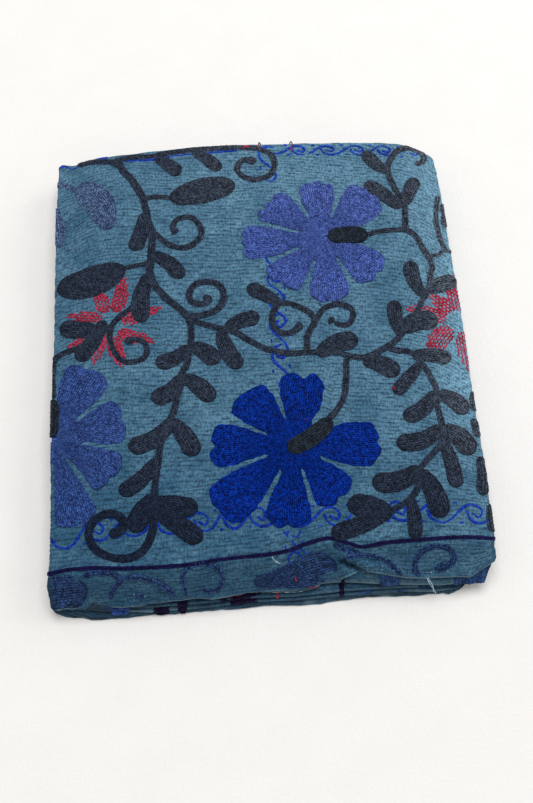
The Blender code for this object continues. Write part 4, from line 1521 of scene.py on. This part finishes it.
# %% Materials
def new_material(name, roughness, shine):
    """A material with its node tree and shader; values that stay the same all over sit on the shader."""
    material = bpy.data.materials.new(name)
    material.use_nodes = True
    shader = material.node_tree.nodes["Principled BSDF"]
    shader.inputs["Roughness"].default_value = roughness
    shader.inputs["Specular IOR Level"].default_value = shine
    return material, material.node_tree, shader


def blend_colours(tree, share, first, second, way="MIX"):
    """The colour output of a Mix node between two colours."""
    made = tree.nodes.new("ShaderNodeMix")
    made.data_type, made.blend_type = "RGBA", way
    for socket, value in ((made.inputs[0], share), (made.inputs[6], first), (made.inputs[7], second)):
        if isinstance(value, bpy.types.NodeSocket):
            tree.links.new(value, socket)
        else:
            socket.default_value = value
    return made.outputs[2]


def bump(tree, shader, height, distance, strength=1.0):
    """A Bump node on the shader's normal; height 1 stands for the distance, in metres."""
    made = add(tree, "Bump", {"Height": height, "Strength": strength, "Distance": distance})
    tree.links.new(made.outputs[0], shader.inputs["Normal"])


def attribute(tree, label):
    """The value that the mesh keeps under a name."""
    return add(tree, "Attribute", attribute_name=label).outputs["Fac"]


def cloth_coordinates(tree):
    """The piece's UV map, in centimetres of cloth."""
    return add(tree, "UVMap", uv_map="cloth").outputs[0]

# %% Cotton
# how much painted shade darkens the grooves, partly the dye, and the border, tuck and lower plies, how
# strong the painted highlight and wear on the hems are, and the bump's depth in metres
GROOVE_DARK, PAINTED_SHADE_DARK, HEM_HIGHLIGHT_AND_WEAR, COTTON_BUMP = 0.70, 0.145, 0.34, 0.0012
# the dye's deepest shade, which the painted shade runs to, its middle one, the paler one of painted light
# and sheen, and the hems' painted highlight and wear, as seen on screen
GROUND_SHADES = (16, 42, 66), (50, 95, 124), (132, 182, 208), (160, 184, 190)


def cotton(name, low, middle, high, hem_highlight_colour):
    """The overdyed ground: mottled, with painted shade and highlight on its relief, painted light and
    sheen, and painted highlight and wear on its hems.
    """
    material, tree, shader = new_material(name, 0.80, 0.18)
    cloth = cloth_coordinates(tree)
    fine = add(tree, "Group", {"Cloth": cloth}, node_tree=crinkle)
    rows = add(tree, "Group", {"Cloth": cloth, "Wander": attribute(tree, "wander")}, node_tree=grooves)
    groove = rows.outputs["Groove"]
    mottle = ranged(tree, fine.outputs["Mottle"], 0.32, 0.68, -0.16, 0.20)
    # painted light and sheen, with the dye's own mottle, carry the body from the middle shade to the high
    # one
    body = blend_colours(tree, plus(tree, attribute(tree, "painted_light"), mottle), middle, high)
    # painted highlight on the crinkle's high spots and painted shade in its hollows, partly the dye's own
    high_spots = ranged(tree, fine.outputs["Height"], 0.66, 1.00, 0.24, 1.18)
    # painted shade in the stitched grooves, where the dye also pooled, and on the border, tuck and lower
    # plies
    dark = plus(tree, times(tree, groove, GROOVE_DARK), times(tree, attribute(tree, "border"), PAINTED_SHADE_DARK))
    dyed_and_shaded = blend_colours(tree, times(tree, high_spots, math_node(tree, "SUBTRACT", 1.0, dark)), low, body)
    # painted highlight on the rolled hems, together with their wear
    at_hem = times(tree, attribute(tree, "highlight_and_wear"), HEM_HIGHLIGHT_AND_WEAR)
    tree.links.new(blend_colours(tree, at_hem, dyed_and_shaded, hem_highlight_colour), shader.inputs["Base Color"])
    height = math_node(tree, "SUBTRACT", fine.outputs["Height"], times(tree, groove, 0.6))
    bump(tree, shader, height, COTTON_BUMP)
    return material


ground = cotton("overdyed_cotton", *(linear(*shade) for shade in GROUND_SHADES))
quilt.data.materials.append(ground)
print(ground.name, "has", len(ground.node_tree.nodes), "nodes")

# %% Floss
# roughness, rows of stitches to a centimetre, and the depth of the bump in metres
FLOSS_ROUGHNESS, ROWS_TO_CM, FLOSS_BUMP = 0.6, 4.3, 0.0011


def floss(name, dark, light, highlight_and_wear, shine, loops_to_cm):
    """Cotton floss, with a shade of its own for each loop, a painted highlight on the loops and painted
    shade in the grooves.

    Its light shade turns to a paler one where the painted light and sheen are strongest, at the right and
    the back.
    """
    material, tree, shader = new_material(name, FLOSS_ROUGHNESS, shine)
    inputs = {"Cloth": cloth_coordinates(tree), "Row": ROWS_TO_CM, "Loop": loops_to_cm}
    group = add(tree, "Group", inputs, node_tree=loops)
    # painted highlight on the top of each loop, over a random shade for each
    shade = plus(tree, times(tree, group.outputs["Shade"], 0.54), 0.08)
    lit = plus(tree, shade, times(tree, group.outputs["Height"], 0.46))
    # painted shade in the grooves between rows
    out_of_groove = plus(tree, times(tree, attribute(tree, "relief"), 1.05), 0.17)
    tone = ranged(tree, times(tree, lit, out_of_groove), 0.08, 0.84)
    # painted sheen: the light shade turns paler where painted light and sheen are strongest
    painted_light = blend_colours(tree, attribute(tree, "painted_light"), light, highlight_and_wear)
    tree.links.new(blend_colours(tree, tone, dark, painted_light), shader.inputs["Base Color"])
    bump(tree, shader, group.outputs["Height"], FLOSS_BUMP)
    return material


# name, dark shade (also the painted shade in the grooves), light shade and the paler shade of painted
# sheen, as seen on screen, shine, loops to a centimetre, and the pieces
FLOSSES = (
    ("navy_floss", (4, 10, 22), (28, 46, 76), (118, 130, 146), 0.10, 3.7, (stems, leaves, folded_navy)),
    ("royal_blue_floss", (0, 8, 50), (6, 62, 190), (20, 72, 190), 0.05, 3.7, (royal,)),
    ("periwinkle_floss", (24, 38, 92), (80, 116, 212), (132, 152, 234), 0.10, 3.7, (periwinkle,)),
    ("deep_periwinkle_floss", (16, 28, 72), (68, 108, 188), (108, 130, 208), 0.08, 3.7,
     (left_flower, folded_blue)),
    ("muted_blue_floss", (18, 32, 64), (106, 136, 182), (122, 150, 190), 0.10, 3.7, (bud,)),
    ("green_black_floss", (6, 10, 18), (48, 60, 76), (54, 66, 82), 0.10, 3.7, (anthers,)),
    ("red_floss", (84, 8, 30), (216, 56, 86), (226, 66, 94), 0.14, 4.6, (red, folded_red, red_ends)),
    ("purple_floss", (4, 4, 34), (26, 24, 84), (48, 46, 114), 0.08, 3.7, (purple,)),
    ("dark_purple_floss", (5, 3, 16), (36, 28, 66), (40, 32, 70), 0.08, 3.7, (hem_purple,)),
    ("scroll_floss", (4, 26, 110), (20, 66, 196), (60, 104, 232), 0.08, 3.7, (thin_scrolls,)),
    ("overdyed_floss", (4, 16, 44), (55, 89, 144), (61, 95, 150), 0.10, 3.7, (overdyed,)),
    ("white_thread", (110, 150, 168), (204, 222, 228), (204, 222, 228), 0.14, 3.7, (running_stitches,)),
)
for name, dark, light, highlight_and_wear, shine, loops_to_cm, pieces in FLOSSES:
    thread_material = floss(name, linear(*dark), linear(*light), linear(*highlight_and_wear), shine, loops_to_cm)
    for piece in pieces:
        piece.data.materials.append(thread_material)
print(len(FLOSSES), "colours of thread")

# %% [markdown]
# ## Floor and light
# A plain pale cloth floor, almost white. The light is soft: a bright surround, a large panel overhead and a
# little behind, and a weaker one behind at the right, which leaves a faint shadow on the left. A picture
# wrapped round the scene could light it as well. Panels were chosen because each can be moved by itself
# until its shadow lies and fades as it should.

# %% Floor
FLOOR_REACH, FLOOR_CRINKLE, FLOOR_BUMP = 4, 60.0, 0.0006
FLOOR_SHADES = (240, 238, 235), (247, 245, 243)
floor_corners = [(FLOOR_REACH * x, FLOOR_REACH * y, 0) for x, y in ((-1, -1), (1, -1), (1, 1), (-1, 1))]
floor_mesh = bpy.data.meshes.new("floor")
floor_mesh.from_pydata(floor_corners, [], [(0, 1, 2, 3)])
floor = bpy.data.objects.new("floor", floor_mesh)
scene.collection.objects.link(floor)
floor_material, tree, shader = new_material("pale_cloth", 0.95, 0.0)
inputs = {"Cloth": add(tree, "TexCoord").outputs["Object"], "Scale": FLOOR_CRINKLE}
group = add(tree, "Group", inputs, node_tree=crinkle)
pale = blend_colours(tree, group.outputs["Mottle"], *(linear(*shade) for shade in FLOOR_SHADES))
tree.links.new(pale, shader.inputs["Base Color"])
bump(tree, shader, group.outputs["Height"], FLOOR_BUMP)
floor_mesh.materials.append(floor_material)
print("floor", 2 * FLOOR_REACH, "m wide")

# %% Light
SURROUND_COLOUR, SURROUND_STRENGTH = (1.0, 0.995, 0.985, 1.0), 0.465
# name, place, side of the square in metres, power in watts, and colour
PANELS = (
    ("ceiling", (0.2, 1.2, 5.4), 3.5, 190, (1.0, 1.0, 1.0)),
    ("window", (3.4, 1.6, 2.8), 2.5, 36, (1.0, 0.99, 0.97)),
)

world = bpy.data.worlds.new("surround")
scene.world = world
world.use_nodes = True
background = world.node_tree.nodes["Background"]
background.inputs["Color"].default_value = SURROUND_COLOUR
background.inputs["Strength"].default_value = SURROUND_STRENGTH


def panel(name, place, size, power, colour):
    """A square area light at a place, turned to the middle of the floor."""
    light = bpy.data.lights.new(name, "AREA")
    light.shape, light.size, light.energy, light.color = "SQUARE", size, power, colour
    lamp = bpy.data.objects.new(name, light)
    scene.collection.objects.link(lamp)
    away = np.array(place, float) / np.linalg.norm(place)
    side = np.cross([0, 1, 0], away)
    side /= np.linalg.norm(side)
    turned = Matrix(np.stack([side, np.cross(away, side), away], 1).tolist()).to_4x4()
    lamp.matrix_world = Matrix.Translation(place) @ turned


for row in PANELS:
    panel(*row)
scene.view_settings.view_transform = "Standard"
print(len(PANELS), "panels of light")

# %% [markdown]
# ## One body
# Cloth has no joints, so every piece rides on the one body. The sheet stands for the imported solid, which
# stays, hidden, for collisions.

# %% Declarations
embroidery = [
    stems, leaves, royal, periwinkle, left_flower, bud, anthers, red, purple, thin_scrolls, overdyed,
    hem_purple, folded_navy, folded_blue, folded_red, running_stitches, red_ends,
]
for piece in [quilt] + embroidery:
    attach(piece, "root")
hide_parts("quilt")
